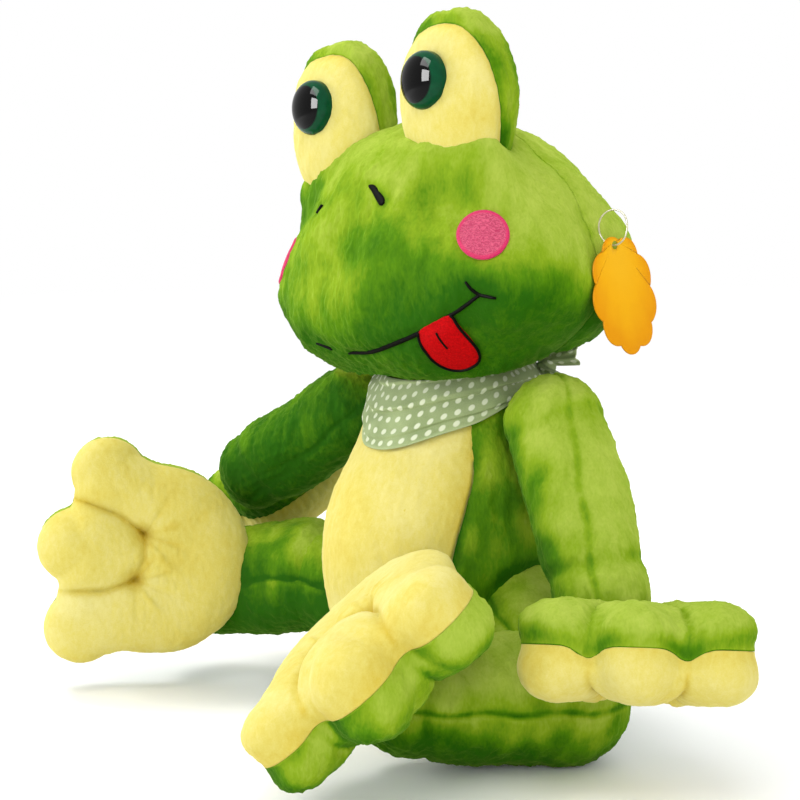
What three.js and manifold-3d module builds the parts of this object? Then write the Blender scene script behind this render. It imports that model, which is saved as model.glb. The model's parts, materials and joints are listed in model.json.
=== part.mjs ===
// A sitting plush frog, 380 mm tall, in millimetres with +Z up and the face toward -Y.
// The origin is the middle of the flat patch that the seat rests on.
// Each sewn shell is modelled with its stuffing as one soft solid. The shells meet at
// their seams, and each limb starts in a stuffed ball that turns in a hollow of its own radius.

import * as THREE from 'three';
import { mergeVertices } from 'three/addons/utils/BufferGeometryUtils.js';
import Module from 'manifold-3d';

const wasm = await Module();
wasm.setup();

// Clearances, thicknesses and the one overrun that all cuts share
const seamGap = 0.3;
const cutOverrun = 60;
const patchThickness = 1.4;
const cardThickness = 1;

// Torso, a pear that stands on a flat seat
const torsoHeight = 226;
const torsoHalfWidth = 66;
const torsoFrontDepth = 75;
const torsoBackDepth = 66;
const seatCut = 0.5;
const torsoWidthShares = [1.26, 1.08, 1, 0.9, 0.84];
const torsoFrontShares = [1.15, 1.06, 0.96, 0.68, 0.62];
const torsoBackShares = [1.25, 1.08, 0.98, 0.86, 0.84];

// Yellow panel let into the front of the torso
const bellyHalfWidth = 52;
const bellyDepth = 4;
const bellyTopDrop = 48;
const bellyTop = torsoHeight - bellyTopDrop;
const bellyBottom = 22;
const bellyWidthShares = [0.3, 0.82, 0.98, 0.98, 0.8];

// Neck plane, tilted forward, and the leaning head
const neckDrop = 24;
const neckHeight = torsoHeight - neckDrop;
const neckTilt = THREE.MathUtils.degToRad(15);
const headRoll = THREE.MathUtils.degToRad(-5.5);
const headDrop = 22;
const headHeight = 150;
const headHalfWidth = 108;
const headFrontDepth = 80;
const headBackDepth = 80;
const headWidthShares = [0.78, 1.02, 0.97, 0.84, 0.74];
const headFrontShares = [0.8, 0.98, 0.92, 0.9, 0.86];
const headBackShares = [0.8, 0.98, 1, 0.95, 0.86];
const faceSeamSetback = 10;

// Eye stalks, split into a yellow front and a green back
const stalkSpacing = 48;
const stalkSetback = -32;
const stalkSink = 40;
const stalkFoot = headHeight - headDrop - stalkSink;
const stalkHeight = 90;
const stalkHalfWidth = 34;
const stalkFrontDepth = 19;
const stalkBackDepth = 30;
const stalkWidthShares = [0.95, 1, 1, 0.98, 0.94];

// Safety eyes: a dome with a stem, held by a washer behind the yellow fabric
const eyeRadius = 15;
const eyeBulge = 9;
const eyeRimThickness = 3;
const eyeRise = 53;
const eyeHeight = stalkFoot + eyeRise;
const eyeInset = 1;
const eyeSeat = -48;
const eyeStemRadius = 2.5;
const eyeStemEnd = -34;
const washerRadius = 10;
const washerThickness = 1.6;
const washerPlay = 0.4;
const washerSeat = -37;

// Cheeks and tongue, both thin patches on the face
const cheekRadius = 14;
const cheekHeight = 60;
const cheekTurn = THREE.MathUtils.degToRad(36);
const tongueHalfWidth = 14;
const tongueLength = 25;
const tongueHeight = 17;
const tongueTurn = THREE.MathUtils.degToRad(56);
const tongueLean = THREE.MathUtils.degToRad(12);

// Neckerchief with its gathered knot
const scarfFrontWidth = 47;
const scarfBackWidth = 18;
const scarfCloth = 2;
const scarfFold = 2.6;
const scarfFolds = 3;
const knotTurn = THREE.MathUtils.degToRad(42);
const knotDrop = 3;
const knotRadius = 8;
const knotLength = 24;
const knotShares = [0.75, 1, 0.85, 1.05, 1.2];
const knotFlatShare = 0.6;
const knotPleatShare = 0.12;
const knotDropShare = 0.25;

// Arms, from the shoulder ball to the wrist
const shoulderDrop = 32;
const shoulderHeight = neckHeight - shoulderDrop;
const shoulderSpacing = 80;
const armRadius = 26;
const armLength = 95;
const armShares = [1, 0.98, 0.97, 0.95, 0.92];

// Hands with three fingers
const handHalfWidth = 56;
const handHalfLength = 46;
const handThickness = 48;
const wristSetback = 27;
const wristOffset = 18;
const wristRise = 28;

// Legs, from the hip ball to the knee ball and on to the ankle ball
const hipSpacing = 54;
const hipSetback = -2;
const hipHeight = 60;
const thighRadius = 35;
const thighLength = 54;
const kneeRadius = 34;
const shinLength = 80;
const thighShares = [1, 0.99, 0.97, 0.93, 0.88];
const shinShares = [1, 1, 0.97, 0.93, 0.88];
const kneeEndShare = 0.3;
const legSwings = [0, 7, 14].map(THREE.MathUtils.degToRad);

// Feet with three toes
const footHalfWidth = 68;
const footHalfLength = 68;
const footThickness = 48;
const ankleSetback = 33;
const ankleOffset = 14;
const ankleRise = 37;

// Outline of a hand or foot from the middle tip round one side to the heel
const outlineTurns = [0, 13, 25, 38, 52, 68, 88, 116, 148, 180].map(THREE.MathUtils.degToRad);
const handReachShares = [1.06, 1.03, 0.9, 1.08, 1.18, 1.1, 0.9, 0.8, 0.82, 0.88];
const footReachShares = [1.06, 1.02, 0.92, 1.08, 1.17, 1.12, 0.97, 0.89, 0.88, 0.9];
const creaseTurn = outlineTurns[2];
const creaseWidth = 12;
const creaseDepthShare = 0.4;

// Hang tag on its thin loop
const tagHalfWidth = 22;
const tagHalfHeight = 31;
const tagScallop = 3;
const tagScallops = 9;
const tagHoleRadius = 2.2;
const tagHoleMargin = 5;
const tagSlant = THREE.MathUtils.degToRad(12);
const tagYaw = THREE.MathUtils.degToRad(-12);
const loopRadius = 9;
const loopStrand = 0.7;
const loopInset = 1.5;
const loopHeightShare = 0.4;
const loopHeight = loopHeightShare * headHeight;
const loopTurn = THREE.MathUtils.degToRad(9);

// How each limb lies: degrees forward of straight out, and degrees above level
const pose = {
  left: { arm: [21, -54], hand: [48, 13.5, 0], thigh: [14.3, -30.2], shin: [118, 2.5],
    foot: [45.5, -7, -139] },
  right: { arm: [14.6, -30], hand: [-20, 10, 40], thigh: [20.2, 6.6], shin: [21, -9],
    foot: [57.5, 11, -95.7] },
};

// Fineness of the meshes
const torsoAround = 20;
const headAround = 24;
const stalkAround = 16;
const limbAround = 12;
const bodyRows = 11;
const roundSides = 20;

const plushGreen = new THREE.Color(0.3, 0.5, 0.08);
const plushYellow = new THREE.Color(0.87, 0.8, 0.32);

function fabric(name, colour) {
  return new THREE.MeshStandardMaterial({ name, color: colour, roughness: 0.95, metalness: 0 });
}

const greenPlush = fabric('green_plush', plushGreen);
const yellowPlush = fabric('yellow_velboa', plushYellow);
const pinkThread = fabric('pink_embroidery', new THREE.Color(0.82, 0.12, 0.34));
const redFelt = fabric('red_felt', new THREE.Color(0.6, 0.01, 0.02));
const dottedCotton = fabric('dotted_cotton', new THREE.Color(0.42, 0.55, 0.28));
const yellowCard = new THREE.MeshStandardMaterial(
  { name: 'yellow_card', color: new THREE.Color(0.9, 0.6, 0.06), roughness: 0.5, metalness: 0 });
const clearStrand = new THREE.MeshStandardMaterial(
  { name: 'clear_nylon', color: new THREE.Color(0.85, 0.85, 0.82), roughness: 0.35, metalness: 0 });
const blackDome = new THREE.MeshStandardMaterial(
  { name: 'black_acrylic', color: new THREE.Color(0.01, 0.02, 0.01), roughness: 0.08, metalness: 0 });
const whiteNylon = new THREE.MeshStandardMaterial(
  { name: 'white_nylon', color: new THREE.Color(0.8, 0.8, 0.78), roughness: 0.5, metalness: 0 });

// Surfaces from rows of points

// A smooth value through evenly spaced shares
function blend(shares, place) {
  const last = shares.length - 1;
  const step = Math.min(Math.floor(place * last), last - 1);
  const t = place * last - step;
  const [a, b, c, d] = [-1, 0, 1, 2].map((k) => shares[THREE.MathUtils.clamp(step + k, 0, last)]);
  return 0.5 * (2 * b + (c - a) * t + (2 * a - 5 * b + 4 * c - d) * t ** 2
    + (3 * b - a - 3 * c + d) * t ** 3);
}

// A closed surface through rows of points whose first and last rows are one point each
function rowsToGeometry(rows) {
  const around = rows[1].length;
  const points = [rows[0][0], ...rows.slice(1, -1).flat(), rows.at(-1)[0]];
  const lastPoint = points.length - 1;
  const lastRing = 1 + (rows.length - 3) * around;
  const faces = [];
  for (let j = 0; j < around; j += 1) {
    const next = (j + 1) % around;
    faces.push(0, 1 + next, 1 + j, lastPoint, lastRing + j, lastRing + next);
    for (let ring = 1; ring < lastRing; ring += around) {
      const [a, b, c, d] = [ring + j, ring + next, ring + around + next, ring + around + j];
      faces.push(a, b, c, a, c, d);
    }
  }
  const geometry = new THREE.BufferGeometry().setFromPoints(points);
  geometry.setIndex(faces);
  return geometry;
}

// Half widths of a bulb's section at a height above its foot
function section(bulb, height) {
  const place = THREE.MathUtils.clamp(height / bulb.height, 0, 1);
  const swell = (2 * Math.sqrt(place * (1 - place))) ** bulb.fullness;
  const grow = bulb.grow ?? 0;
  return {
    width: bulb.halfWidth * blend(bulb.widthShares, place) * swell + grow,
    front: bulb.frontDepth * blend(bulb.frontShares, place) * swell ** bulb.frontFullness + grow,
    back: bulb.backDepth * blend(bulb.backShares, place) * swell + grow,
  };
}

// A point of the section, where turn 0 is +X and turn 90 degrees is the back
function sectionPoint(bulb, height, turn) {
  const { width, front, back } = section(bulb, height);
  const power = 2 / bulb.squareness;
  const cos = Math.cos(turn);
  const sin = Math.sin(turn);
  const depth = sin < 0 ? front : back;
  return new THREE.Vector3(
    width * Math.sign(cos) * Math.abs(cos) ** power,
    depth * Math.sign(sin) * Math.abs(sin) ** power,
    height,
  );
}

// A stuffed shape that swells and tapers along +Z
function bulbGeometry(bulb) {
  const grow = bulb.grow ?? 0;
  const rows = [[new THREE.Vector3(0, 0, -grow)]];
  for (let i = 1; i < bodyRows; i += 1) {
    const height = bulb.height * (1 - Math.cos(Math.PI * i / bodyRows)) / 2;
    const stretch = grow * (2 * height / bulb.height - 1);
    const row = [];
    for (let j = 0; j < bulb.around; j += 1) {
      const point = sectionPoint(bulb, height, 2 * Math.PI * j / bulb.around);
      point.z += stretch;
      row.push(point);
    }
    rows.push(row);
  }
  rows.push([new THREE.Vector3(0, 0, bulb.height + grow)]);
  return rowsToGeometry(rows);
}

// A limb along +Z: a root ball at the origin, a tapering tube and a rounded end
function limbGeometry({ radius, length, shares, endShare = 1, grow = 0 }) {
  const capRows = 4;
  const tubeRows = 5;
  const endRadius = radius * shares.at(-1) + grow;
  const ring = (height, reach) => Array.from({ length: limbAround }, (_, j) => {
    const turn = 2 * Math.PI * j / limbAround;
    return new THREE.Vector3(reach * Math.cos(turn), reach * Math.sin(turn), height);
  });
  const rows = [[new THREE.Vector3(0, 0, -radius - grow)]];
  for (let i = 1; i <= capRows; i += 1) {
    const angle = Math.PI / 2 * i / capRows;
    rows.push(ring(-(radius + grow) * Math.cos(angle), (radius + grow) * Math.sin(angle)));
  }
  for (let i = 1; i < tubeRows; i += 1) {
    const place = i / tubeRows;
    rows.push(ring(length * place, radius * blend(shares, place) + grow));
  }
  for (let i = capRows; i >= 1; i -= 1) {
    const angle = Math.PI / 2 * i / capRows;
    rows.push(ring(length + endShare * endRadius * Math.cos(angle), endRadius * Math.sin(angle)));
  }
  rows.push([new THREE.Vector3(0, 0, length + endShare * endRadius)]);
  return rowsToGeometry(rows);
}

// Half of a flat stuffed hand or foot: digits toward +Y, padding toward +Z or -Z
function padGeometry({ halfWidth, halfLength, thickness, reachShares, side }) {
  const turns = [...outlineTurns.slice(0, -1), ...outlineTurns.slice(1).reverse().map((t) => -t)];
  const reaches = [...reachShares.slice(0, -1), ...reachShares.slice(1).reverse()];
  const corners = turns.map((turn, k) => new THREE.Vector3(
    -halfWidth * reaches[k] * Math.sin(turn),
    halfLength * reaches[k] * Math.cos(turn),
    0,
  ));
  const around = 2 * corners.length;
  const curve = new THREE.CatmullRomCurve3(corners, true);
  const outline = Array.from({ length: around }, (_, j) => curve.getPoint(j / around));
  const padRows = 5;
  const base = side * seamGap / 2;
  const rows = [[new THREE.Vector3(0, 0, base)], outline.map((p) => new THREE.Vector3(p.x, p.y, base))];
  for (let i = 1; i < padRows; i += 1) {
    const angle = Math.PI / 2 * i / padRows;
    const reach = Math.cos(angle) ** 0.55;
    rows.push(outline.map((p) => {
      const turn = Math.abs(Math.atan2(p.x / halfWidth, p.y / halfLength));
      const away = (turn - creaseTurn) * reach * Math.hypot(p.x, p.y) / creaseWidth;
      const crease = creaseDepthShare * Math.exp(-(away ** 2)) * THREE.MathUtils.smoothstep(reach, 0.35, 0.8);
      return new THREE.Vector3(
        p.x * reach,
        p.y * reach,
        base + side * (thickness / 2) * Math.sin(angle) ** 0.85 * (1 - crease),
      );
    }));
  }
  rows.push([new THREE.Vector3(0, 0, base + side * thickness / 2)]);
  if (side < 0) rows.forEach((row) => row.reverse());
  return rowsToGeometry(rows);
}

// Solids and the frames that they are made in

function toSolid(geometry, matrix = new THREE.Matrix4()) {
  const bare = geometry.clone();
  bare.deleteAttribute('normal');
  bare.deleteAttribute('uv');
  const merged = mergeVertices(bare.applyMatrix4(matrix));
  return new wasm.Manifold(new wasm.Mesh({
    numProp: 3,
    vertProperties: new Float32Array(merged.attributes.position.array),
    triVerts: new Uint32Array(merged.index.array),
  }));
}

function toGeometry(solid, matrix) {
  const { vertProperties, triVerts, numProp } = solid.getMesh();
  const positions = new Float32Array(3 * vertProperties.length / numProp);
  positions.forEach((_, k) => {
    positions[k] = vertProperties[Math.floor(k / 3) * numProp + k % 3];
  });
  const geometry = new THREE.BufferGeometry();
  geometry.setAttribute('position', new THREE.BufferAttribute(positions, 3));
  geometry.setIndex(new THREE.BufferAttribute(new Uint32Array(triVerts), 1));
  geometry.applyMatrix4(matrix);
  geometry.computeVertexNormals();
  return geometry;
}

function inFrame(group, geometry) {
  group.updateWorldMatrix(true, false);
  return toSolid(geometry, group.matrixWorld);
}

// Hangs a solid made in the toy's own frame on the group that carries it
function addPiece(group, name, solid, material) {
  group.updateWorldMatrix(true, false);
  const mesh = new THREE.Mesh(toGeometry(solid, group.matrixWorld.clone().invert()), material);
  mesh.name = name;
  group.add(mesh);
}

function slab(size, centre) {
  return new THREE.BoxGeometry(size.x, size.y, size.z).translate(centre.x, centre.y, centre.z);
}

// Everything beyond a start along one direction of a group
function halfSpace(group, size, direction, start) {
  const middle = new THREE.Vector3().copy(direction).multiplyScalar(start + size / 2);
  return inFrame(group, slab(new THREE.Vector3(size, size, size), middle));
}

// The room that a limb of a given radius needs as it swings about the X axis
function swingRoom({ radius, lean, reach, side }) {
  const profile = [];
  const arcSteps = 4;
  const turnSteps = 14;
  const round = radius / Math.cos(Math.PI / turnSteps);
  for (let i = 0; i <= arcSteps; i += 1) {
    const angle = (Math.PI / 2 - lean) * i / arcSteps;
    profile.push(new THREE.Vector2(round * Math.sin(angle), -round * Math.cos(angle)));
  }
  const edge = profile.at(-1);
  const far = new THREE.Vector2(edge.x + reach * Math.sin(lean), edge.y + reach * Math.cos(lean));
  profile.push(far, new THREE.Vector2(0, far.y));
  const lathe = new THREE.LatheGeometry(profile, turnSteps);
  return lathe.rotateZ(-side * Math.PI / 2);
}

function direction(side, [forward, rise]) {
  const turn = THREE.MathUtils.degToRad(forward);
  const lift = THREE.MathUtils.degToRad(rise);
  return new THREE.Vector3(
    side * Math.cos(turn) * Math.cos(lift),
    -Math.sin(turn) * Math.cos(lift),
    Math.sin(lift),
  );
}

const up = new THREE.Vector3(0, 0, 1);

// A limb's own frame, with +Z along the limb
function limbFrame(parent, place, along) {
  const group = new THREE.Group();
  group.position.copy(place);
  group.quaternion.setFromUnitVectors(up, along);
  parent.add(group);
  return group;
}

// A hand's or foot's own frame: +Y toward the digits, +Z out of the back of the hand
function padFrame(parent, place, side, [forward, rise, roll]) {
  const digits = direction(1, [forward, rise]);
  const level = up.clone().addScaledVector(digits, -digits.z).normalize();
  const across = new THREE.Vector3().crossVectors(digits, level);
  const turn = THREE.MathUtils.degToRad(roll);
  const back = level.multiplyScalar(Math.cos(turn)).addScaledVector(across, Math.sin(turn));
  digits.x *= side;
  back.x *= side;
  const lateral = new THREE.Vector3().crossVectors(digits, back);
  const group = new THREE.Group();
  group.position.copy(place);
  group.quaternion.setFromRotationMatrix(new THREE.Matrix4().makeBasis(lateral, digits, back));
  parent.add(group);
  return group;
}

const frog = new THREE.Group();

// Neck plane: the torso lies below it and the head above it
const neck = new THREE.Group();
neck.position.z = neckHeight;
neck.rotation.x = neckTilt;
frog.add(neck);
const spaceSize = 4 * torsoHeight;
const aboveNeck = halfSpace(neck, spaceSize, up, -seamGap / 2);
const belowNeck = halfSpace(neck, spaceSize, up.clone().negate(), -seamGap / 2);

// Torso and belly

const torsoBulb = {
  height: torsoHeight, halfWidth: torsoHalfWidth, frontDepth: torsoFrontDepth,
  backDepth: torsoBackDepth, widthShares: torsoWidthShares, frontShares: torsoFrontShares,
  backShares: torsoBackShares, fullness: 0.7, frontFullness: 1, squareness: 2.1,
  around: torsoAround,
};
const torsoBase = new THREE.Group();
torsoBase.position.z = -seatCut;
frog.add(torsoBase);

const belowFloor = toSolid(slab(new THREE.Vector3(spaceSize, spaceSize, cutOverrun),
  new THREE.Vector3(0, 0, -cutOverrun / 2)));

function torsoSolid(grow) {
  const body = inFrame(torsoBase, bulbGeometry({ ...torsoBulb, grow }));
  return body.subtract(belowFloor).subtract(aboveNeck);
}

// The panel's outline from the front, pushed through the front half of the torso
function bellyPrism(grow) {
  const steps = 9;
  const shape = new THREE.Shape();
  for (let i = 0; i <= steps; i += 1) {
    const place = i / steps;
    const height = THREE.MathUtils.lerp(bellyBottom - grow, bellyTop + grow, place);
    const half = bellyHalfWidth * blend(bellyWidthShares, place) + grow;
    if (i === 0) shape.moveTo(half, height);
    else shape.lineTo(half, height);
  }
  for (let i = steps; i >= 0; i -= 1) {
    const place = i / steps;
    const height = THREE.MathUtils.lerp(bellyBottom - grow, bellyTop + grow, place);
    shape.lineTo(-bellyHalfWidth * blend(bellyWidthShares, place) - grow, height);
  }
  const prism = new THREE.ExtrudeGeometry(shape, { depth: 2 * torsoFrontDepth, bevelEnabled: false });
  return toSolid(prism.rotateX(Math.PI / 2));
}

const wholeTorso = torsoSolid(0);
const bellyPanel = bellyPrism(0).intersect(wholeTorso).subtract(torsoSolid(-bellyDepth));
const bellyRecess = bellyPrism(seamGap).subtract(torsoSolid(-bellyDepth - seamGap));

// Head, split into face and back at its seam

const head = new THREE.Group();
head.position.z = neckHeight;
head.rotation.y = headRoll;
frog.add(head);
const headBase = new THREE.Group();
headBase.position.z = -headDrop;
head.add(headBase);

const headBulb = {
  height: headHeight, halfWidth: headHalfWidth, frontDepth: headFrontDepth,
  backDepth: headBackDepth, widthShares: headWidthShares, frontShares: headFrontShares,
  backShares: headBackShares, fullness: 0.8, frontFullness: 0.6, squareness: 2.3,
  around: headAround,
};

function headSolid(grow) {
  return inFrame(headBase, bulbGeometry({ ...headBulb, grow })).subtract(belowNeck);
}

// The part of the head's own frame that lies in front of, or behind, a depth
function headSide(depth, sign) {
  const middle = new THREE.Vector3(0, depth + sign * spaceSize / 2, 0);
  return inFrame(head, slab(new THREE.Vector3(spaceSize, spaceSize, spaceSize), middle));
}

const wholeHead = headSolid(0);
const headSkin = headSolid(seamGap);
const headPatch = headSolid(seamGap + patchThickness);

// Eye stalks and eyes

const stalkBulb = {
  height: stalkHeight, halfWidth: stalkHalfWidth, frontDepth: stalkFrontDepth,
  backDepth: stalkBackDepth, widthShares: stalkWidthShares, frontShares: stalkWidthShares,
  backShares: stalkWidthShares, fullness: 0.62, frontFullness: 1, squareness: 2.2, around: stalkAround,
};

// An eye about the Y axis of its group, looking toward -Y from the rim's seat at y = 0
function eyeGeometry(stemLength, grow) {
  const domeSteps = 6;
  const profile = [
    new THREE.Vector2(0, stemLength + grow),
    new THREE.Vector2(eyeStemRadius + grow, stemLength + grow),
    new THREE.Vector2(eyeStemRadius + grow, grow),
    new THREE.Vector2(eyeRadius + grow, grow),
  ];
  for (let i = 0; i <= domeSteps; i += 1) {
    const angle = Math.PI / 2 * i / domeSteps;
    const reach = i === domeSteps ? 0 : (eyeRadius + grow) * Math.cos(angle);
    profile.push(new THREE.Vector2(reach, -eyeRimThickness - (eyeBulge + grow) * Math.sin(angle)));
  }
  return new THREE.LatheGeometry(profile.reverse(), roundSides);
}

function washerGeometry(grow) {
  const bore = eyeStemRadius + washerPlay;
  const profile = [
    new THREE.Vector2(bore, -grow),
    new THREE.Vector2(washerRadius + grow, -grow),
    new THREE.Vector2(washerRadius + grow, washerThickness + grow),
    new THREE.Vector2(bore, washerThickness + grow),
    new THREE.Vector2(bore, -grow),
  ];
  return new THREE.LatheGeometry(profile, roundSides);
}

// The pocket runs from the washer's seat to the stalk's own seam
function washerPocket() {
  const depth = stalkSetback - washerSeat + cutOverrun;
  const pocket = new THREE.CylinderGeometry(
    washerRadius + 2 * seamGap, washerRadius + 2 * seamGap, depth, roundSides);
  return pocket.translate(0, depth / 2 - seamGap, 0);
}

const sides = [['left', 1], ['right', -1]];

for (const [name, side] of sides) {
  const stalk = new THREE.Group();
  stalk.position.set(side * stalkSpacing, stalkSetback, stalkFoot);
  head.add(stalk);
  const whole = inFrame(stalk, bulbGeometry(stalkBulb)).subtract(headSkin);
  const eye = new THREE.Group();
  eye.position.set(side * (stalkSpacing - eyeInset), eyeSeat, eyeHeight);
  head.add(eye);
  const washer = new THREE.Group();
  washer.position.set(side * (stalkSpacing - eyeInset), washerSeat, eyeHeight);
  head.add(washer);
  const stemLength = eyeStemEnd - eyeSeat;
  const front = whole.intersect(headSide(stalkSetback - seamGap / 2, -1))
    .subtract(inFrame(eye, eyeGeometry(stemLength, seamGap)))
    .subtract(inFrame(washer, washerPocket()));
  addPiece(head, `${name}_eye_stalk`, whole.intersect(headSide(stalkSetback + seamGap / 2, 1)), greenPlush);
  addPiece(head, `${name}_eye_panel`, front, yellowPlush);
  addPiece(head, `${name}_eye`, inFrame(eye, eyeGeometry(stemLength, 0)), blackDome);
  addPiece(head, `${name}_eye_washer`, inFrame(washer, washerGeometry(0)), whiteNylon);
}

// Patches on the face: what a prism cuts from a thin skin over the head

function facePatch(turn, height, outline) {
  const place = sectionPoint(headBulb, height + headDrop, turn);
  const group = new THREE.Group();
  group.position.set(place.x, place.y, height);
  group.rotation.z = turn;
  head.add(group);
  return inFrame(group, outline).intersect(headPatch).subtract(headSkin);
}

const cheekCore = new THREE.CylinderGeometry(cheekRadius, cheekRadius, cutOverrun, 28).rotateZ(Math.PI / 2);
for (const [name, side] of sides) {
  const turn = side > 0 ? -cheekTurn : cheekTurn - Math.PI;
  addPiece(head, `${name}_cheek_patch`, facePatch(turn, cheekHeight, cheekCore), pinkThread);
}

function tongueOutline() {
  const shape = new THREE.Shape();
  shape.moveTo(-tongueHalfWidth, 0);
  shape.lineTo(-tongueHalfWidth, tongueHalfWidth - tongueLength);
  shape.absarc(0, tongueHalfWidth - tongueLength, tongueHalfWidth, Math.PI, 2 * Math.PI, false);
  shape.lineTo(tongueHalfWidth, 0);
  shape.closePath();
  const core = new THREE.ExtrudeGeometry(shape, { depth: cutOverrun, bevelEnabled: false, curveSegments: 12 });
  core.translate(0, 0, -cutOverrun / 2).rotateZ(tongueLean);
  return core.rotateX(Math.PI / 2).rotateZ(Math.PI / 2);
}

addPiece(head, 'tongue', facePatch(-tongueTurn, tongueHeight, tongueOutline()), redFelt);

// Hang tag and the loop that ties it to the head's seam

function tagGeometry() {
  const shape = new THREE.Shape();
  const steps = 8 * tagScallops;
  for (let i = 0; i < steps; i += 1) {
    const turn = 2 * Math.PI * i / steps;
    const wave = tagScallop * Math.abs(Math.sin(tagScallops * turn / 2));
    const x = (tagHalfWidth - tagScallop + wave) * Math.cos(turn);
    const y = (tagHalfHeight - tagScallop + wave) * Math.sin(turn) - tagHalfHeight + tagHoleMargin;
    if (i === 0) shape.moveTo(x, y);
    else shape.lineTo(x, y);
  }
  const hole = new THREE.Path();
  hole.absarc(0, 0, tagHoleRadius, 0, 2 * Math.PI, true);
  shape.holes.push(hole);
  const card = new THREE.ExtrudeGeometry(shape, { depth: cardThickness, bevelEnabled: false, curveSegments: 8 });
  card.translate(0, 0, -cardThickness / 2).rotateZ(tagSlant);
  return card.rotateX(Math.PI / 2).rotateZ(Math.PI / 2 + tagYaw);
}

const loopPlace = sectionPoint(headBulb, loopHeight + headDrop, loopTurn);
const loopGroup = new THREE.Group();
loopGroup.position.set(loopPlace.x, loopPlace.y, loopHeight);
loopGroup.rotation.z = loopTurn;
head.add(loopGroup);
const loopOffset = loopRadius - loopInset;
function loopGeometry(grow) {
  return new THREE.TorusGeometry(loopRadius, loopStrand + grow, 8, 28)
    .rotateX(Math.PI / 2).translate(loopOffset, 0, 0);
}
const tagGroup = new THREE.Group();
tagGroup.position.set(loopOffset, 0, -loopRadius);
loopGroup.add(tagGroup);
addPiece(loopGroup, 'tag_loop', inFrame(loopGroup, loopGeometry(0)), clearStrand);
addPiece(tagGroup, 'hang_tag', inFrame(tagGroup, tagGeometry()), yellowCard);

const loopRoom = inFrame(loopGroup, loopGeometry(seamGap));
addPiece(head, 'head_face', wholeHead.intersect(headSide(faceSeamSetback - seamGap / 2, -1))
  .subtract(loopRoom), greenPlush);
addPiece(head, 'head_back', wholeHead.intersect(headSide(faceSeamSetback + seamGap / 2, 1))
  .subtract(loopRoom), greenPlush);

// Limbs

const swingRooms = [];
for (const [name, side] of sides) {
  const lie = pose[name];
  const shoulder = new THREE.Vector3(side * shoulderSpacing, 0, shoulderHeight);
  const armWay = direction(side, lie.arm);
  const arm = limbFrame(frog, shoulder, armWay);
  const wrist = shoulder.clone().addScaledVector(armWay, armLength);
  const handWay = padFrame(frog, wrist, side, lie.hand);
  handWay.translateX(-side * wristOffset).translateY(wristSetback).translateZ(-wristRise);
  const pad = {
    halfWidth: handHalfWidth, halfLength: handHalfLength, thickness: handThickness,
    reachShares: handReachShares,
  };
  const armSolid = inFrame(arm, limbGeometry({ radius: armRadius, length: armLength, shares: armShares }));
  const armGrown = inFrame(arm, limbGeometry(
    { radius: armRadius, length: armLength, shares: armShares, grow: seamGap }));
  addPiece(arm, `${name}_arm`, armSolid, greenPlush);
  addPiece(handWay, `${name}_hand_back`,
    inFrame(handWay, padGeometry({ ...pad, side: 1 })).subtract(armGrown), greenPlush);
  addPiece(handWay, `${name}_hand_palm`, inFrame(handWay, padGeometry({ ...pad, side: -1 })), yellowPlush);
  const room = swingRoom({
    radius: armRadius + seamGap, lean: Math.acos(Math.abs(armWay.x)), reach: armLength, side,
  });
  swingRooms.push(toSolid(room.translate(shoulder.x, shoulder.y, shoulder.z)));
}

for (const [name, side] of sides) {
  const lie = pose[name];
  const hip = new THREE.Vector3(side * hipSpacing, hipSetback, hipHeight);
  const thighWay = direction(side, lie.thigh);
  const shinWay = direction(side, lie.shin);
  const knee = hip.clone().addScaledVector(thighWay, thighLength);
  const ankle = knee.clone().addScaledVector(shinWay, shinLength);
  const thigh = limbFrame(frog, hip, thighWay);
  const shin = limbFrame(frog, knee, shinWay);
  const foot = padFrame(frog, ankle, side, lie.foot);
  foot.translateX(side * ankleOffset).translateY(ankleSetback).translateZ(-ankleRise);
  const shinSpec = { radius: kneeRadius, length: shinLength, shares: shinShares };
  const shinGrown = inFrame(shin, limbGeometry({ ...shinSpec, grow: seamGap }));
  const shinRoom = inFrame(shin, limbGeometry({ ...shinSpec, grow: 2 * seamGap }));
  const thighSolid = inFrame(thigh, limbGeometry(
    { radius: thighRadius, length: thighLength, shares: thighShares, endShare: kneeEndShare }));
  const socketSides = 14;
  const socketRadius = (kneeRadius + seamGap) / Math.cos(Math.PI / socketSides) ** 2;
  const socket = toSolid(new THREE.SphereGeometry(socketRadius, socketSides, socketSides)
    .translate(knee.x, knee.y, knee.z));
  addPiece(thigh, `${name}_thigh`, thighSolid.subtract(shinRoom).subtract(socket), greenPlush);
  addPiece(shin, `${name}_shin`, inFrame(shin, limbGeometry(shinSpec)).subtract(belowFloor), greenPlush);
  const pad = {
    halfWidth: footHalfWidth, halfLength: footHalfLength, thickness: footThickness,
    reachShares: footReachShares,
  };
  addPiece(foot, `${name}_foot_upper`,
    inFrame(foot, padGeometry({ ...pad, side: 1 })).subtract(shinGrown).subtract(belowFloor), greenPlush);
  addPiece(foot, `${name}_foot_sole`,
    inFrame(foot, padGeometry({ ...pad, side: -1 })).subtract(shinGrown).subtract(belowFloor), yellowPlush);
  const room = swingRoom({
    radius: thighRadius + seamGap, lean: Math.acos(Math.abs(thighWay.x)), reach: thighLength, side,
  });
  swingRooms.push(toSolid(room.translate(hip.x, hip.y, hip.z)));
  for (const swing of legSwings) {
    const about = new THREE.Matrix4().makeTranslation(hip.x, hip.y, hip.z)
      .multiply(new THREE.Matrix4().makeRotationX(-swing))
      .multiply(new THREE.Matrix4().makeTranslation(-hip.x, -hip.y, -hip.z));
    swingRooms.push(shinGrown.transform(about.elements));
  }
}

// Neckerchief: a band round the torso below the neck plane, with folds along it

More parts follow.
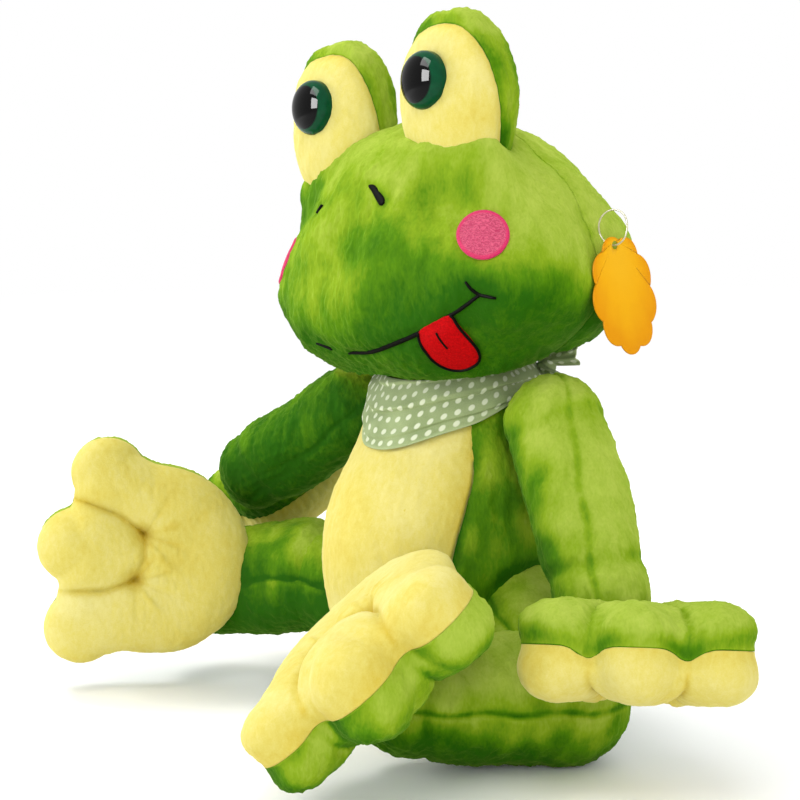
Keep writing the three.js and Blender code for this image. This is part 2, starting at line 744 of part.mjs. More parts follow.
function scarfGeometry(grow) {
  const around = 26;
  const across = 6;
  const outline = [];
  for (let j = 0; j < around; j += 1) {
    const turn = 2 * Math.PI * j / around;
    const tip = Math.max(0, -Math.sin(turn)) ** 2;
    const hem = neckHeight - THREE.MathUtils.lerp(scarfBackWidth, scarfFrontWidth, tip);
    let rim = neckHeight;
    for (let pass = 0; pass < 4; pass += 1) {
      const edge = sectionPoint(torsoBulb, rim + seatCut, turn);
      const out = 1 + (scarfCloth + scarfFold + seamGap) / Math.hypot(edge.x, edge.y);
      rim = neckHeight + Math.tan(neckTilt) * Math.min(edge.y, edge.y * out)
        - 2 * seamGap;
    }
    const row = [];
    for (let i = 0; i <= across; i += 1) {
      const place = i / across;
      const height = THREE.MathUtils.lerp(hem, rim, place);
      const skin = sectionPoint(torsoBulb, height + seatCut, turn);
      const wave = Math.sin(Math.PI * scarfFolds * place + turn) ** 2;
      const out = 1 + (seamGap + scarfCloth + grow + scarfFold * wave * Math.sin(Math.PI * place) ** 0.5)
        / Math.hypot(skin.x, skin.y);
      row.push(new THREE.Vector3(skin.x * out, skin.y * out, height));
    }
    for (let i = across; i >= 0; i -= 1) {
      const height = THREE.MathUtils.lerp(hem, rim, i / across);
      const skin = sectionPoint(torsoBulb, height + seatCut, turn);
      const out = 1 + 2 * seamGap / Math.hypot(skin.x, skin.y);
      row.push(new THREE.Vector3(skin.x * out, skin.y * out, height));
    }
    outline.push(row);
  }
  const count = outline[0].length;
  const faces = [];
  for (let j = 0; j < around; j += 1) {
    const next = (j + 1) % around;
    for (let i = 0; i < count; i += 1) {
      const above = (i + 1) % count;
      const [a, b, c, d] = [j * count + i, next * count + i, next * count + above, j * count + above];
      faces.push(a, b, c, a, c, d);
    }
  }
  const geometry = new THREE.BufferGeometry().setFromPoints(outline.flat());
  geometry.setIndex(faces);
  return geometry;
}

// The gathered ends: two cloth tails that leave the knot as flattened, flaring tubes
function knotGeometry() {
  const rows = [];
  const steps = 6;
  const around = 10;
  rows.push([new THREE.Vector3(0, 0, 0)]);
  for (let i = 0; i <= steps; i += 1) {
    const place = i / steps;
    const reach = knotRadius * blend(knotShares, place);
    const flat = THREE.MathUtils.lerp(1, knotFlatShare, place);
    rows.push(Array.from({ length: around }, (_, j) => {
      const turn = 2 * Math.PI * j / around;
      const pleat = 1 + knotPleatShare * place * Math.cos(3 * turn);
      return new THREE.Vector3(reach * pleat * Math.cos(turn), flat * reach * pleat * Math.sin(turn),
        knotLength * place);
    }));
  }
  rows.push([new THREE.Vector3(0, 0, knotLength)]);
  return rowsToGeometry(rows);
}

const knotHeight = neckHeight - knotDrop;
const knotSkin = sectionPoint(torsoBulb, knotHeight + seatCut, knotTurn);
const knotWay = new THREE.Vector3(Math.cos(knotTurn), Math.sin(knotTurn), -knotDropShare).normalize();
const knotStart = knotSkin.clone().addScaledVector(knotWay, scarfCloth + scarfFold + 2 * seamGap);
const knot = limbFrame(frog, knotStart.setZ(knotHeight), knotWay);
addPiece(knot, 'neckerchief_knot',
  inFrame(knot, knotGeometry()).subtract(toSolid(scarfGeometry(seamGap))).subtract(torsoSolid(seamGap))
    .subtract(aboveNeck), dottedCotton);

const scarf = toSolid(scarfGeometry(0)).subtract(torsoSolid(seamGap)).subtract(aboveNeck);
addPiece(frog, 'neckerchief', scarf, dottedCotton);

let torso = wholeTorso.subtract(bellyRecess);
let belly = bellyPanel;
for (const room of swingRooms) {
  torso = torso.subtract(room);
  belly = belly.subtract(room);
}
addPiece(frog, 'torso', torso, greenPlush);
addPiece(frog, 'belly_panel', belly, yellowPlush);

export default frog;
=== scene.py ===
# %% [markdown]
# # A sitting plush frog
# The frog is sewn from two cloths, a short-piled green plush and a smoother yellow one, and
# stuffed with fibre. A shell like that is never a plain ball: its seams pull in, its stuffing
# makes low lumps, and its pile parts into tufts. Each shell is worked out here as a surface in
# numpy, in millimetres, and only becomes a Blender mesh, in metres, when it is finished.

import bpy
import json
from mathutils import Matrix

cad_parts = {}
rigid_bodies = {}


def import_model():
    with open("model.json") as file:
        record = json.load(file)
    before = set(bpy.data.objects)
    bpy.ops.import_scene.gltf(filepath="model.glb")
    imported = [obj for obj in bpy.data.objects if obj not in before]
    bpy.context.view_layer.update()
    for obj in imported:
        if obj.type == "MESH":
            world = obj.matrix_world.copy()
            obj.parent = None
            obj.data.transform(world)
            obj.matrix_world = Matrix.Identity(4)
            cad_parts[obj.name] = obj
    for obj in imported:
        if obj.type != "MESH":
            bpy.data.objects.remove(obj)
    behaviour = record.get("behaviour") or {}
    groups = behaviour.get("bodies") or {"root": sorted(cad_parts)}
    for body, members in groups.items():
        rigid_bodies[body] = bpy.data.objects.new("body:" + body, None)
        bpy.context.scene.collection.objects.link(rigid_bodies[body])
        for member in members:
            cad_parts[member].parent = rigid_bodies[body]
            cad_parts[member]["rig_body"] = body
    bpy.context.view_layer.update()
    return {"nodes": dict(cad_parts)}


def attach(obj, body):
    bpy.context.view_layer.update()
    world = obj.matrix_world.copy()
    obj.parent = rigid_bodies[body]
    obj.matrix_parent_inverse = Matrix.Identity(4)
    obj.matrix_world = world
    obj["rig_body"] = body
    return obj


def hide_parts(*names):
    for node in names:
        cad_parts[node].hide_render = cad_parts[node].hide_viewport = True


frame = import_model()

# %% [markdown]
# ## The camera
# The picture was taken from the frog's left front, a little above the middle of its body. The
# camera comes first, because everything after it is judged through it.

# %% The camera
import json
import math

import bpy
import numpy as np
from mathutils import Vector

MM = 0.001
camera_place = (0.7228, -0.6453, 0.2708)
camera_way = (-0.7625, 0.6398, -0.0958)
camera_lens = 79.4
sensor_width = 36.0

def aimed(way):
    """The rotation that turns an object's own -Z along a way."""
    return Vector(way).to_track_quat("-Z", "Y").to_euler()


camera = bpy.data.objects.new("camera", bpy.data.cameras.new("camera"))
camera.location = camera_place
camera.rotation_euler = aimed(camera_way)
camera.data.lens = camera_lens
camera.data.sensor_width = sensor_width
camera.data.clip_start = 0.01
bpy.context.collection.objects.link(camera)
bpy.context.scene.camera = camera
print("camera at", camera_place)

# %% [markdown]
# ## Sizes that the shapes share with the CAD
# The stuffed shapes repeat the formulas of the solids that they dress, so the same driving
# sizes stand here, in millimetres. How a limb lies is given in degrees: forward of straight
# out, above level and, for a hand or foot, its roll.

# %% Driving sizes
SEAT_CUT = 0.5
TORSO = dict(height=226, half_width=66, front=75, back=66, fullness=0.7, front_fullness=1,
             squareness=2.1, width_shares=[1.26, 1.08, 1, 0.9, 0.84],
             front_shares=[1.15, 1.06, 0.96, 0.68, 0.62],
             back_shares=[1.25, 1.08, 0.98, 0.86, 0.84])
HEAD = dict(height=150, half_width=108, front=80, back=80, fullness=0.8, front_fullness=0.6,
            squareness=2.3, width_shares=[0.78, 1.02, 0.97, 0.84, 0.74],
            front_shares=[0.8, 0.98, 0.92, 0.9, 0.86], back_shares=[0.8, 0.98, 1, 0.95, 0.86])
STALK = dict(height=90, half_width=34, front=19, back=30, fullness=0.62, front_fullness=1,
             squareness=2.2, width_shares=[0.95, 1, 1, 0.98, 0.94],
             front_shares=[0.95, 1, 1, 0.98, 0.94], back_shares=[0.95, 1, 1, 0.98, 0.94])
NECK_HEIGHT, NECK_GAP = 202, 0.4
NECK_TILT = math.radians(15)
HEAD_ROLL = math.radians(-5.5)
HEAD_DROP = 22
FACE_SEAM = 10
STALK_FOOT = (48, -32, 88)
EYE_PLACE = (47, -48, 141)
EYE_RADIUS, EYE_BULGE, EYE_RIM = 15, 9, 3
EYE_STEM_RADIUS, EYE_STEM_LENGTH = 2.5, 14
BELLY_HALF_WIDTH = 52
BELLY_TOP, BELLY_BOTTOM = 178, 22
BELLY_SHARES = [0.3, 0.82, 0.98, 0.98, 0.8]
SCARF_FRONT, SCARF_BACK, SCARF_FOLDS = 47, 18, 2.6
SHOULDER = (80, 0, 170)
HIP = (54, -2, 60)
ARM = dict(radius=26, length=95, shares=[1, 0.98, 0.97, 0.95, 0.92], end=1.0)
THIGH = dict(radius=35, length=54, shares=[1, 0.99, 0.97, 0.93, 0.88], end=0.3)
SHIN = dict(radius=34, length=80, shares=[1, 1, 0.97, 0.93, 0.88], end=1.0)
HAND = dict(half_width=56, half_length=46, half_thick=24, setback=27, offset=-18, rise=28,
            digit_shares=(0.37, 0.38, 0.68), tip_shares=(0.66, 0.40), heel_shares=(0.80, 0.86),
            seam_wave=5.5, pillow_share=0.03)
FOOT = dict(half_width=68, half_length=68, half_thick=24, setback=33, offset=14, rise=37,
            digit_shares=(0.34, 0.34, 0.86), tip_shares=(0.70, 0.54), heel_shares=(0.84, 0.86),
            seam_wave=1.8, pillow_share=0.13)
LIES = {
    "left": dict(arm=(21, -54), hand=(48, 13.5, 0), thigh=(14.3, -30.2), shin=(118, 2.5),
                 foot=(45.5, -7, -139)),
    "right": dict(arm=(14.6, -30), hand=(-20, 10, 40), thigh=(20.2, 6.6), shin=(21, -9),
                  foot=(57.5, 11, -95.7)),
}
SIDES = (("left", 1), ("right", -1))

# %% [markdown]
# ## Steps that every shape takes
# A shape here is an array of points. A few steps come back all the time: bring a way to length
# 1, share out a turn, walk round a circle, turn about an axis. Each is done for all the points
# at once, which is much quicker than a loop over them.

# %% Turns and circles


def unit(vectors, least=0.0):
    """Vectors brought to length 1, apart from those shorter than least, which stay short."""
    return vectors / np.maximum(np.linalg.norm(vectors, axis=-1), least)[..., None]


def joined(*parts):
    """Points from coordinates that are spread over each other."""
    return np.stack(np.broadcast_arrays(*parts), axis=-1)


def whole_turn(count):
    """Angles that share out one whole turn."""
    return np.arange(count) * 2 * math.pi / count


def round_about(turn, first, second):
    """Steps round a circle or ellipse: cos(turn) first + sin(turn) second."""
    return np.cos(turn)[..., None] * first + np.sin(turn)[..., None] * second


def about_x(angle):
    """Turns points by an angle about X, when it stands before them."""
    return np.array([[1, 0, 0], [0, math.cos(angle), -math.sin(angle)],
                     [0, math.sin(angle), math.cos(angle)]])


def about_z(angle):
    """Turns points by an angle about Z, when it stands before them."""
    return np.array([[math.cos(angle), -math.sin(angle), 0],
                     [math.sin(angle), math.cos(angle), 0], [0, 0, 1]])


print("a quarter turn about Z carries X to", about_z(math.pi / 2)[:, 0].round(1))

# %% [markdown]
# ## Frames of the body
# Small rotation matrices carry a shape from the frame that it is easy to draw in, such as along
# a limb, to the frog's own frame.

# %% Frames
head_turn = np.array([[math.cos(HEAD_ROLL), 0, math.sin(HEAD_ROLL)], [0, 1, 0],
                      [-math.sin(HEAD_ROLL), 0, math.cos(HEAD_ROLL)]])


def from_head(points):
    """Points of the leaning head's frame, whose origin is the neck, in the frog's frame."""
    return points @ head_turn.T + [0, 0, NECK_HEIGHT]


def neck_plane(depth, gap=0.0):
    """Height of the tilted plane between the head and the torso, and a gap above it."""
    return NECK_HEIGHT + gap + math.tan(NECK_TILT) * depth


def lie_way(side, forward, rise):
    """Unit vector that points forward degrees forward of straight out and rise degrees up."""
    turn, lift = math.radians(forward), math.radians(rise)
    return np.array([side * math.cos(turn) * math.cos(lift),
                     -math.sin(turn) * math.cos(lift), math.sin(lift)])


def limb_turn(way):
    """Columns that turn +Z onto a way by the shortest arc: I + K + K K / (1 + way z)."""
    k = np.array([[0, 0, way[0]], [0, 0, way[1]], [-way[0], -way[1], 0]])
    return np.eye(3) + k + k @ k / (1 + way[2])


def pad_turn(side, forward, rise, roll):
    """Columns across, toward the digits and out of the back of a hand or foot."""
    digits = lie_way(1, forward, rise)
    level = unit(np.array([0, 0, 1]) - digits[2] * digits)
    across = np.cross(digits, level)
    back = math.cos(math.radians(roll)) * level + math.sin(math.radians(roll)) * across
    digits, back = digits * [side, 1, 1], back * [side, 1, 1]
    return np.stack([np.cross(digits, back), digits, back], axis=1)


def limb_ends(name, side):
    """Shoulder, wrist, hip, knee and ankle of one side, and the ways that join them."""
    lie = LIES[name]
    arm, thigh, shin = (lie_way(side, *lie[k]) for k in ("arm", "thigh", "shin"))
    shoulder, hip = np.array(SHOULDER) * [side, 1, 1], np.array(HIP) * [side, 1, 1]
    knee = hip + THIGH["length"] * thigh
    return dict(shoulder=shoulder, wrist=shoulder + ARM["length"] * arm, hip=hip, knee=knee,
                ankle=knee + SHIN["length"] * shin, arm=arm, thigh=thigh, shin=shin)


ENDS = {name: limb_ends(name, side) for name, side in SIDES}
print("left knee", ENDS["left"]["knee"].round(1))

# %% [markdown]
# ## Profiles that swell
# A stuffed shell is widest where its panels are cut widest. A few shares of the greatest width,
# joined by a smooth curve, say where that is, and a power of a half circle rounds both ends.

# %% Profiles


def blend(shares, place):
    """A smooth (Catmull-Rom) curve through evenly spaced shares, read at a place from 0 to 1."""
    shares = np.asarray(shares, float)
    last = len(shares) - 1
    spot = np.clip(place, 0, 1) * last
    step = np.minimum(spot.astype(int), last - 1)
    t = spot - step
    a, b, c, d = (shares[np.clip(step + k, 0, last)] for k in (-1, 0, 1, 2))
    return 0.5 * (2 * b + (c - a) * t + (2 * a - 5 * b + 4 * c - d) * t ** 2
                  + (3 * b - a - 3 * c + d) * t ** 3)


def smooth(value, low, high):
    """0 below low, 1 above high and 3t^2 - 2t^3 between."""
    t = np.clip((value - low) / (high - low), 0, 1)
    return t * t * (3 - 2 * t)


def bulb_reach(bulb, height):
    """Half width, front depth and back depth of a bulb's section at a height."""
    place = np.clip(height / bulb["height"], 1e-5, 1 - 1e-5)
    swell = 2 * np.sqrt(place * (1 - place))
    return (bulb["half_width"] * blend(bulb["width_shares"], place) * swell ** bulb["fullness"],
            bulb["front"] * blend(bulb["front_shares"], place)
            * swell ** bulb["front_fullness"],
            bulb["back"] * blend(bulb["back_shares"], place) * swell ** bulb["fullness"])


def bulb_value(bulb, points):
    """Below 0 inside: |x/width|^n + |y/depth|^n - 1 at each height, and 1 past the ends."""
    width, front, back = bulb_reach(bulb, points[..., 2])
    depth = np.where(points[..., 1] < 0, front, back)
    value = (np.abs(points[..., 0] / width) ** bulb["squareness"]
             + np.abs(points[..., 1] / depth) ** bulb["squareness"] - 1)
    past = (points[..., 2] < 0) | (points[..., 2] > bulb["height"])
    return np.where(past, 1.0, value)


def bulb_front(bulb, across, height):
    """Depth of the front surface: -front (1 - |x/width|^n)^(1/n)."""
    width, front, _ = bulb_reach(bulb, np.asarray(height, float))
    inner = np.clip(1 - np.abs(across / width) ** bulb["squareness"], 0, 1)
    return -front * inner ** (1 / bulb["squareness"])


def signed_power(value, power):
    """A power of a value's size, with the value's own sign."""
    return np.sign(value) * np.abs(value) ** power


def bulb_point(bulb, height, turn, sunk):
    """A point of the skin of a bulb whose foot is sunk below 0.

    Turn 0 is the frog's left and -90 degrees its front.
    """
    width, front, back = bulb_reach(bulb, height + sunk)
    power = 2 / bulb["squareness"]
    cos, sin = signed_power(np.cos(turn), power), signed_power(np.sin(turn), power)
    return joined(width * cos, np.where(sin < 0, front, back) * sin, height)


print("head's half width half way up", bulb_reach(HEAD, np.array(75.0))[0].round(1))

# %% [markdown]
# ## From a grid to a closed mesh
# Every shell is a grid of rows and turns whose first and last rows shrink to a point. The faces
# of such a grid are the same every time, so one function numbers them for all.

# %% Grids and meshes


def closed_rows(field):
    """A grid's values as one list, with the first and last rows shrunk to one mean each."""
    field = np.asarray(field, float)
    tail = field.shape[2:]
    return np.concatenate([field[:1].mean(axis=1), field[1:-1].reshape(-1, *tail),
                           field[-1:].mean(axis=1)])


def wrapped(grid, *axes):
    """A grid whose first row (axis 0) or column (axis 1) comes again at its end."""
    for axis in axes:
        grid = np.concatenate([grid, np.take(grid, [0], axis)], axis)
    return grid


def grid_quads(number):
    """Quads between the neighbouring rows and columns of a grid of point numbers."""
    return np.stack([number[:-1, :-1], number[:-1, 1:], number[1:, 1:], number[1:, :-1]],
                    axis=-1).reshape(-1, 4)


def closed_faces(rows, turns):
    """Quads between the rings of a closed grid, and the triangles of its two ends."""
    ring = wrapped(1 + np.arange((rows - 2) * turns).reshape(rows - 2, turns), 1)
    here, onward = ring[:, :-1], ring[:, 1:]
    first = np.zeros(turns, int)
    last = first + 1 + (rows - 2) * turns
    return grid_quads(ring), np.concatenate([np.stack([first, onward[0], here[0]], axis=-1),
                                             np.stack([last, here[-1], onward[-1]], axis=-1)])


def volume(points, quads, ends):
    """Six times the volume, from the triangles that fan out of each face's first corner."""
    fans = np.concatenate([quads[:, :3], quads[:, [0, 2, 3]], ends])
    a, b, c = (points[fans[:, k]] for k in range(3))
    return np.einsum("ij,ij->", a, np.cross(b, c))


def new_object(name, points, faces):
    """A smooth-shaded object in metres from points in millimetres."""
    mesh = bpy.data.meshes.new(name)
    mesh.from_pydata(points * MM, [], faces)
    mesh.shade_smooth()
    piece = bpy.data.objects.new(name, mesh)
    bpy.context.collection.objects.link(piece)
    return piece


def closed_object(name, grid, fold=None):
    """A closed shell from a grid, facing outwards, with its fold attribute."""
    points = closed_rows(grid)
    quads, ends = closed_faces(*grid.shape[:2])
    if volume(points, quads, ends) < 0:
        quads, ends = quads[:, ::-1], ends[:, ::-1]
    piece = new_object(name, points, quads.tolist() + ends.tolist())
    mark(piece, "fold", np.zeros(grid.shape[:2]) if fold is None else fold)
    return piece


def ring_object(name, grid):
    """A tube from a grid that closes both ways, facing outwards."""
    points = grid.reshape(-1, 3)
    quads = grid_quads(wrapped(np.arange(len(points)).reshape(grid.shape[:2]), 0, 1))
    if volume(points, quads, quads[:0, :3]) < 0:
        quads = quads[:, ::-1]
    return new_object(name, points, quads.tolist())


def write_values(piece, name, values):
    """Keeps one value for each point of a mesh, for its material to read."""
    layer = piece.data.attributes.new(name, "FLOAT", "POINT")
    layer.data.foreach_set("value", np.ravel(values))


def mark(piece, name, grid):
    """Writes a closed grid's values onto the points of its mesh."""
    write_values(piece, name, closed_rows(grid[..., None]))


def even_profile(radii, heights, rows):
    """A profile's radii and heights at equal steps of its length."""
    steps = np.hypot(np.diff(radii), np.diff(heights))
    along = np.concatenate([[0], np.cumsum(steps)])
    even = np.linspace(0, along[-1], rows)
    return np.interp(even, along, radii), np.interp(even, along, heights)


print("faces of a small closed grid:", sum(map(len, closed_faces(5, 8))))

# %% [markdown]
# ## Stuffing and pile
# Stuffing shows as low, wide lumps and pile as small tufts. Both are sums of plane waves with
# seeded random directions: cheap, smooth, and the same on every run.

# %% Lumps, tufts and grooves


def waves(points, length, seed, count=28, stretch=(1, 1, 1)):
    """The sum of count sine waves, of about one length each, over the root of their number."""
    draw = np.random.default_rng(seed)
    ways = unit(draw.normal(size=(count, 3)))
    ways *= 2 * math.pi / (length * draw.uniform(0.7, 1.5, (count, 1))) / np.array(stretch)
    phase = draw.uniform(0, 2 * math.pi, count)
    return np.sin(points @ ways.T + phase).sum(axis=-1) / math.sqrt(count / 2)


def groove(distance, width):
    """A soft valley, 1 in its middle: exp(-(distance/width)^2)."""
    return np.exp(-(distance / width) ** 2)


def away_from(points, place):
    """How far each point is from a place."""
    return np.linalg.norm(points - place, axis=-1)


def bar_distance(points, start, end):
    """How far each point is from a straight bar, and its share of the way along it."""
    way = end - start
    share = np.clip((points - start) @ way / (way @ way), 0, 1)
    return away_from(points, start + share[..., None] * way), share


def path_distance(points, path):
    """The least distance from each point to the straight pieces of a path."""
    return np.min([bar_distance(points, *piece)[0] for piece in zip(path[:-1], path[1:])], axis=0)


trial = np.random.default_rng(0).normal(size=(500, 3)) * 40
print("spread of the tufts", waves(trial, 9, 1).std())

# %% [markdown]
# ## Which way the pile lies, with painted light and shade
# Brushed plush is light where its pile leans toward the light and deep where we look into it.
# The lean is partly painted light: points that face up are painted lighter, as if lit from above.
# Each piece is cut with the pile lying its own way, and hands have brushed some places up or
# down, but the offsets of the far pieces and most listed spots are also painted shade, and a few
# spots are painted light. The lean is worked out once for each point and kept on the mesh as nap.

# %% The nap
# Painted light: the way below points up, so points that face up are painted lighter. The offsets
# of the far pieces and most spots below are partly painted shade, and a few spots painted light.
NAP_AND_LIGHT_WAY = np.array([0.45, -0.05, 0.88])
NAP_AND_SHADE_OF = dict(head_face=-0.02, torso=-0.20, left_arm=0.08, right_arm=-0.34, left_thigh=-0.06,
              right_thigh=-0.22, left_shin=-0.04, right_shin=-0.20, left_hand=0.12,
              left_foot=0.10)
BRUSHED_AND_SHADED = (((96, -30, 226), 34, -0.30), ((-15, -80, 256), 44, 0.18), ((38, -76, 205), 20, -0.16),
           ((39, -59, 283), 13, -0.17), ((56, -50, 289), 13, -0.13), ((6, -73, 264), 10, -0.20),
           ((22, -72, 267), 11, -0.22), ((26, -74, 243), 15, -0.20), ((46, -69, 242), 17, -0.22),
           ((66, -62, 242), 18, -0.16), ((-24, -74, 222), 22, 0.12), ((80, -36, 300), 24, 0.06))


def mark_nap_and_light(piece, points, normals, seed):
    """Writes the nap: how far the pile leans away from the eye, with painted light on top (1) and
    painted shade underneath (0), in patches.

    Each piece is cut with its pile lying its own way, which the table of pieces adds to it, and a
    hand has brushed some places up or down, which the table of spots adds. Both tables also paint
    shade, on the far pieces and most spots, and a few spots paint light.
    """
    own = sum(value for name, value in NAP_AND_SHADE_OF.items() if piece.name.startswith(name))
    for place, reach, amount in BRUSHED_AND_SHADED:
        own = own + amount * groove(away_from(points, place), reach)
    patchy = 0.5 if piece.name.startswith("head_face") else 1.0
    # Painted light and shade: the normal's share along the way up makes points that face up
    # lighter, and the offsets darken the far pieces and spots.
    lean = (0.5 + 0.5 * normals @ NAP_AND_LIGHT_WAY + own + patchy * (0.07 * waves(points, 44, seed + 4)
            + 0.055 * waves(points, 17, seed + 5, stretch=(1, 1, 1.6))))
    write_values(piece, "nap", smooth(lean, 0.20, 1.0))


print("places brushed by hand:", len(BRUSHED_AND_SHADED))

# %% [markdown]
# ## Raising the pile
# The stuffing's lumps and the tufts could be a displacement modifier. Moving the points here
# keeps the seams closed and lets pieces that press on each other give way where they touch.

# %% Raising the pile
PUSHED = (("left_arm", (54, 0, 170), 14, 2.8), ("right_arm", (-54, 0, 170), 14, 3.0),
          ("right_arm", (-157, -41, 113), 16, -0.9),
          ("right_foot_upper", (-157, -46, 112), 16, -0.9))


def read_mesh(piece):
    """The points, in millimetres, and the outward normals of a mesh."""
    count = len(piece.data.vertices)
    points, normals = np.empty(3 * count), np.empty(3 * count)
    piece.data.vertices.foreach_get("co", points)
    piece.data.vertex_normals.foreach_get("vector", normals)
    return points.reshape(-1, 3) / MM, normals.reshape(-1, 3)


def write_points(piece, points):
    """Puts a mesh's points, in millimetres, back into it."""
    piece.data.vertices.foreach_set("co", (points * MM).ravel())
    piece.data.update()


def pile_height(points, depth, seed, lumps):
    """Wide lumps of stuffing, and tufts of pile that lie downwards."""
    nap = (1, 1, 2.0)
    tufts = (0.8 * waves(points, 10, seed, stretch=nap)
             + 0.7 * waves(points, 4.6, seed + 1, stretch=nap)
             + 0.6 * waves(points, 2.7, seed + 2, stretch=nap))
    return depth * tufts + lumps * waves(points, 52, seed + 3)


def raise_pile(piece, depth, seed, lumps=1.0, seam=None):
    """Moves the points of a mesh out along their normals, less where they lie in a fold.

    PUSHED adds soft swellings, and below 0 dents, where two pieces press on each other: an
    arm swells toward its seam on the torso, round the axis that it swings about. The ring at
    a seam, given as the half's pole and its number of points, moves only along the seam's
    plane, so that the two halves stay together.
    """
    points, normals = read_mesh(piece)
    mark_nap_and_light(piece, points, normals, seed)
    layer = np.empty(len(points))
    piece.data.attributes["fold"].data.foreach_get("value", layer)
    out = pile_height(points, depth, seed, lumps) * (1 - 0.5 * layer)
    for name, place, reach, amount in PUSHED:
        if piece.name.startswith(name):
            out += amount * groove(away_from(points, place), reach)
    if seam is not None:
        pole, turns = seam
        ring = normals[:turns + 1]
        ring[:] = unit(ring - (ring @ pole)[:, None] * pole, least=0.2)
        ring[0] = 0
    points = points + normals * out[:, None]
    points[:, 2] = np.maximum(points[:, 2], 0)
    write_points(piece, points)

# %% [markdown]
# ## Shader maths as Python
# A shader is arithmetic on sockets. One small class wraps a socket, so that a * b or 1 - mask
# adds the Math node it needs, and every other node comes from its one method, node.

# %% A socket that does arithmetic


class Wire:
    """A socket of a shader's tree that can be added, multiplied, mixed and so on."""

    def __init__(self, tree, socket=None):
        self.tree, self.socket = tree, socket

    def node(self, kind, settings=None, sockets=None, output=0):
        """Adds a node: its settings first, then the values or wires of its sockets."""
        new = self.tree.nodes.new(kind)
        for key, value in (settings or {}).items():
            if key == "stops":
                ramp = new.color_ramp
                for place, _ in value[1:-1]:
                    ramp.elements.new(place)
                for element, (place, colour) in zip(ramp.elements, value):
                    element.position = place
                    element.color = (*colour, 1)
            else:
                setattr(new, key, value)
        for key, value in (sockets or {}).items():
            if isinstance(value, Wire):
                self.tree.links.new(value.socket, new.inputs[key])
            else:
                new.inputs[key].default_value = value
        return Wire(self.tree, new.outputs[output])

    def maths(self, operation, *values):
        """A Math node on wires or numbers."""
        return self.node("ShaderNodeMath", {"operation": operation}, dict(enumerate(values)))

    def fraction(self):
        """What is left of a value over its last whole number."""
        return self.maths("FRACT", self)

    def __add__(self, other):
        return self.maths("ADD", self, other)

    def __radd__(self, other):
        return self.maths("ADD", other, self)

    def __sub__(self, other):
        return self.maths("SUBTRACT", self, other)

    def __rsub__(self, other):
        return self.maths("SUBTRACT", other, self)

    def __mul__(self, other):
        return self.maths("MULTIPLY", self, other)

    def __rmul__(self, other):
        return self.maths("MULTIPLY", other, self)

    def __truediv__(self, other):
        return self.maths("DIVIDE", self, other)

    def __pow__(self, other):
        return self.maths("POWER", self, other)

    def between(self, low, high):
        """0 below low, 1 above high and smooth between."""
        return self.node("ShaderNodeMapRange", {"interpolation_type": "SMOOTHSTEP"},
                         {"Value": self, "From Min": low, "From Max": high})

    def ramp(self, *stops):
        """Colours read off a ramp of (place, colour) stops."""
        return self.node("ShaderNodeValToRGB", {"stops": stops}, {"Fac": self})

    def mix(self, a, b):
        """Colour a where this wire is 0 and colour b where it is 1."""
        return self.node("ShaderNodeMix", {"data_type": "RGBA"}, {0: self, 6: a, 7: b}, output=2)


print("operators of a wire:", sum(name.startswith("__") for name in vars(Wire)))

# %% [markdown]
# ## Textures for cloth
# Every cloth here is built from the same few parts: noise in object coordinates, so that it
# keeps its real size on any piece, a bump that it feeds, and values kept on the mesh.

# %% Materials and textures


def new_material(name, **constants):
    """A Principled material: returns it, a wire into its tree and its shader node."""
    material = bpy.data.materials.new(name)
    material.use_nodes = True
    shader = material.node_tree.nodes["Principled BSDF"]
    for key, value in constants.items():
        shader.inputs[key.replace("_", " ")].default_value = value
    return material, Wire(material.node_tree), shader


def feed(shader, name, wire):
    """Links a wire to one of the shader's sockets."""
    wire.tree.links.new(wire.socket, shader.inputs[name])


def spots(tree, stretch=(1, 1, 1)):
    """Object coordinates in metres, stretched along the axes."""
    place = tree.node("ShaderNodeTexCoord", output="Object")
    return tree.node("ShaderNodeMapping", {"vector_type": "POINT"},
                     {"Vector": place, "Scale": stretch})


def noise(tree, where, scale, detail=2.0, twist=0.0, rough=0.5):
    """Noise with scale features a metre."""
    return tree.node("ShaderNodeTexNoise", None, {"Vector": where, "Scale": scale,
                     "Detail": detail, "Distortion": twist, "Roughness": rough})


def bumps(tree, shader, height, strength, distance):
    """A Bump node that feeds the shader's normal."""
    feed(shader, "Normal", tree.node("ShaderNodeBump", None, {
        "Height": height, "Strength": strength, "Distance": distance}))


def attribute(tree, name):
    """A value kept on the mesh, such as fold, which is 1 in the bottom of a seam or crease."""
    return tree.node("ShaderNodeAttribute", {"attribute_name": name}, output="Fac")


# %% [markdown]
# ## Green plush
# Short pile, brushed by hand, reads light where it leans away and deep where we look into it.
# Here that light and shade are painted through the nap value, and fold paints shade into the
# seams and creases.
# A wide, twisted noise stands for the brushed patches, streaks that run down the nap for the
# tufts, and a fine noise for the fibre ends. Sheen lights the pile that stands up at the rim.

# %% Green plush
DEEP_GREEN = (0.016, 0.095, 0.001)
LEAF_GREEN = (0.070, 0.190, 0.002)
LIME_GREEN = (0.195, 0.310, 0.010)
PALE_GREEN = (0.360, 0.450, 0.065)


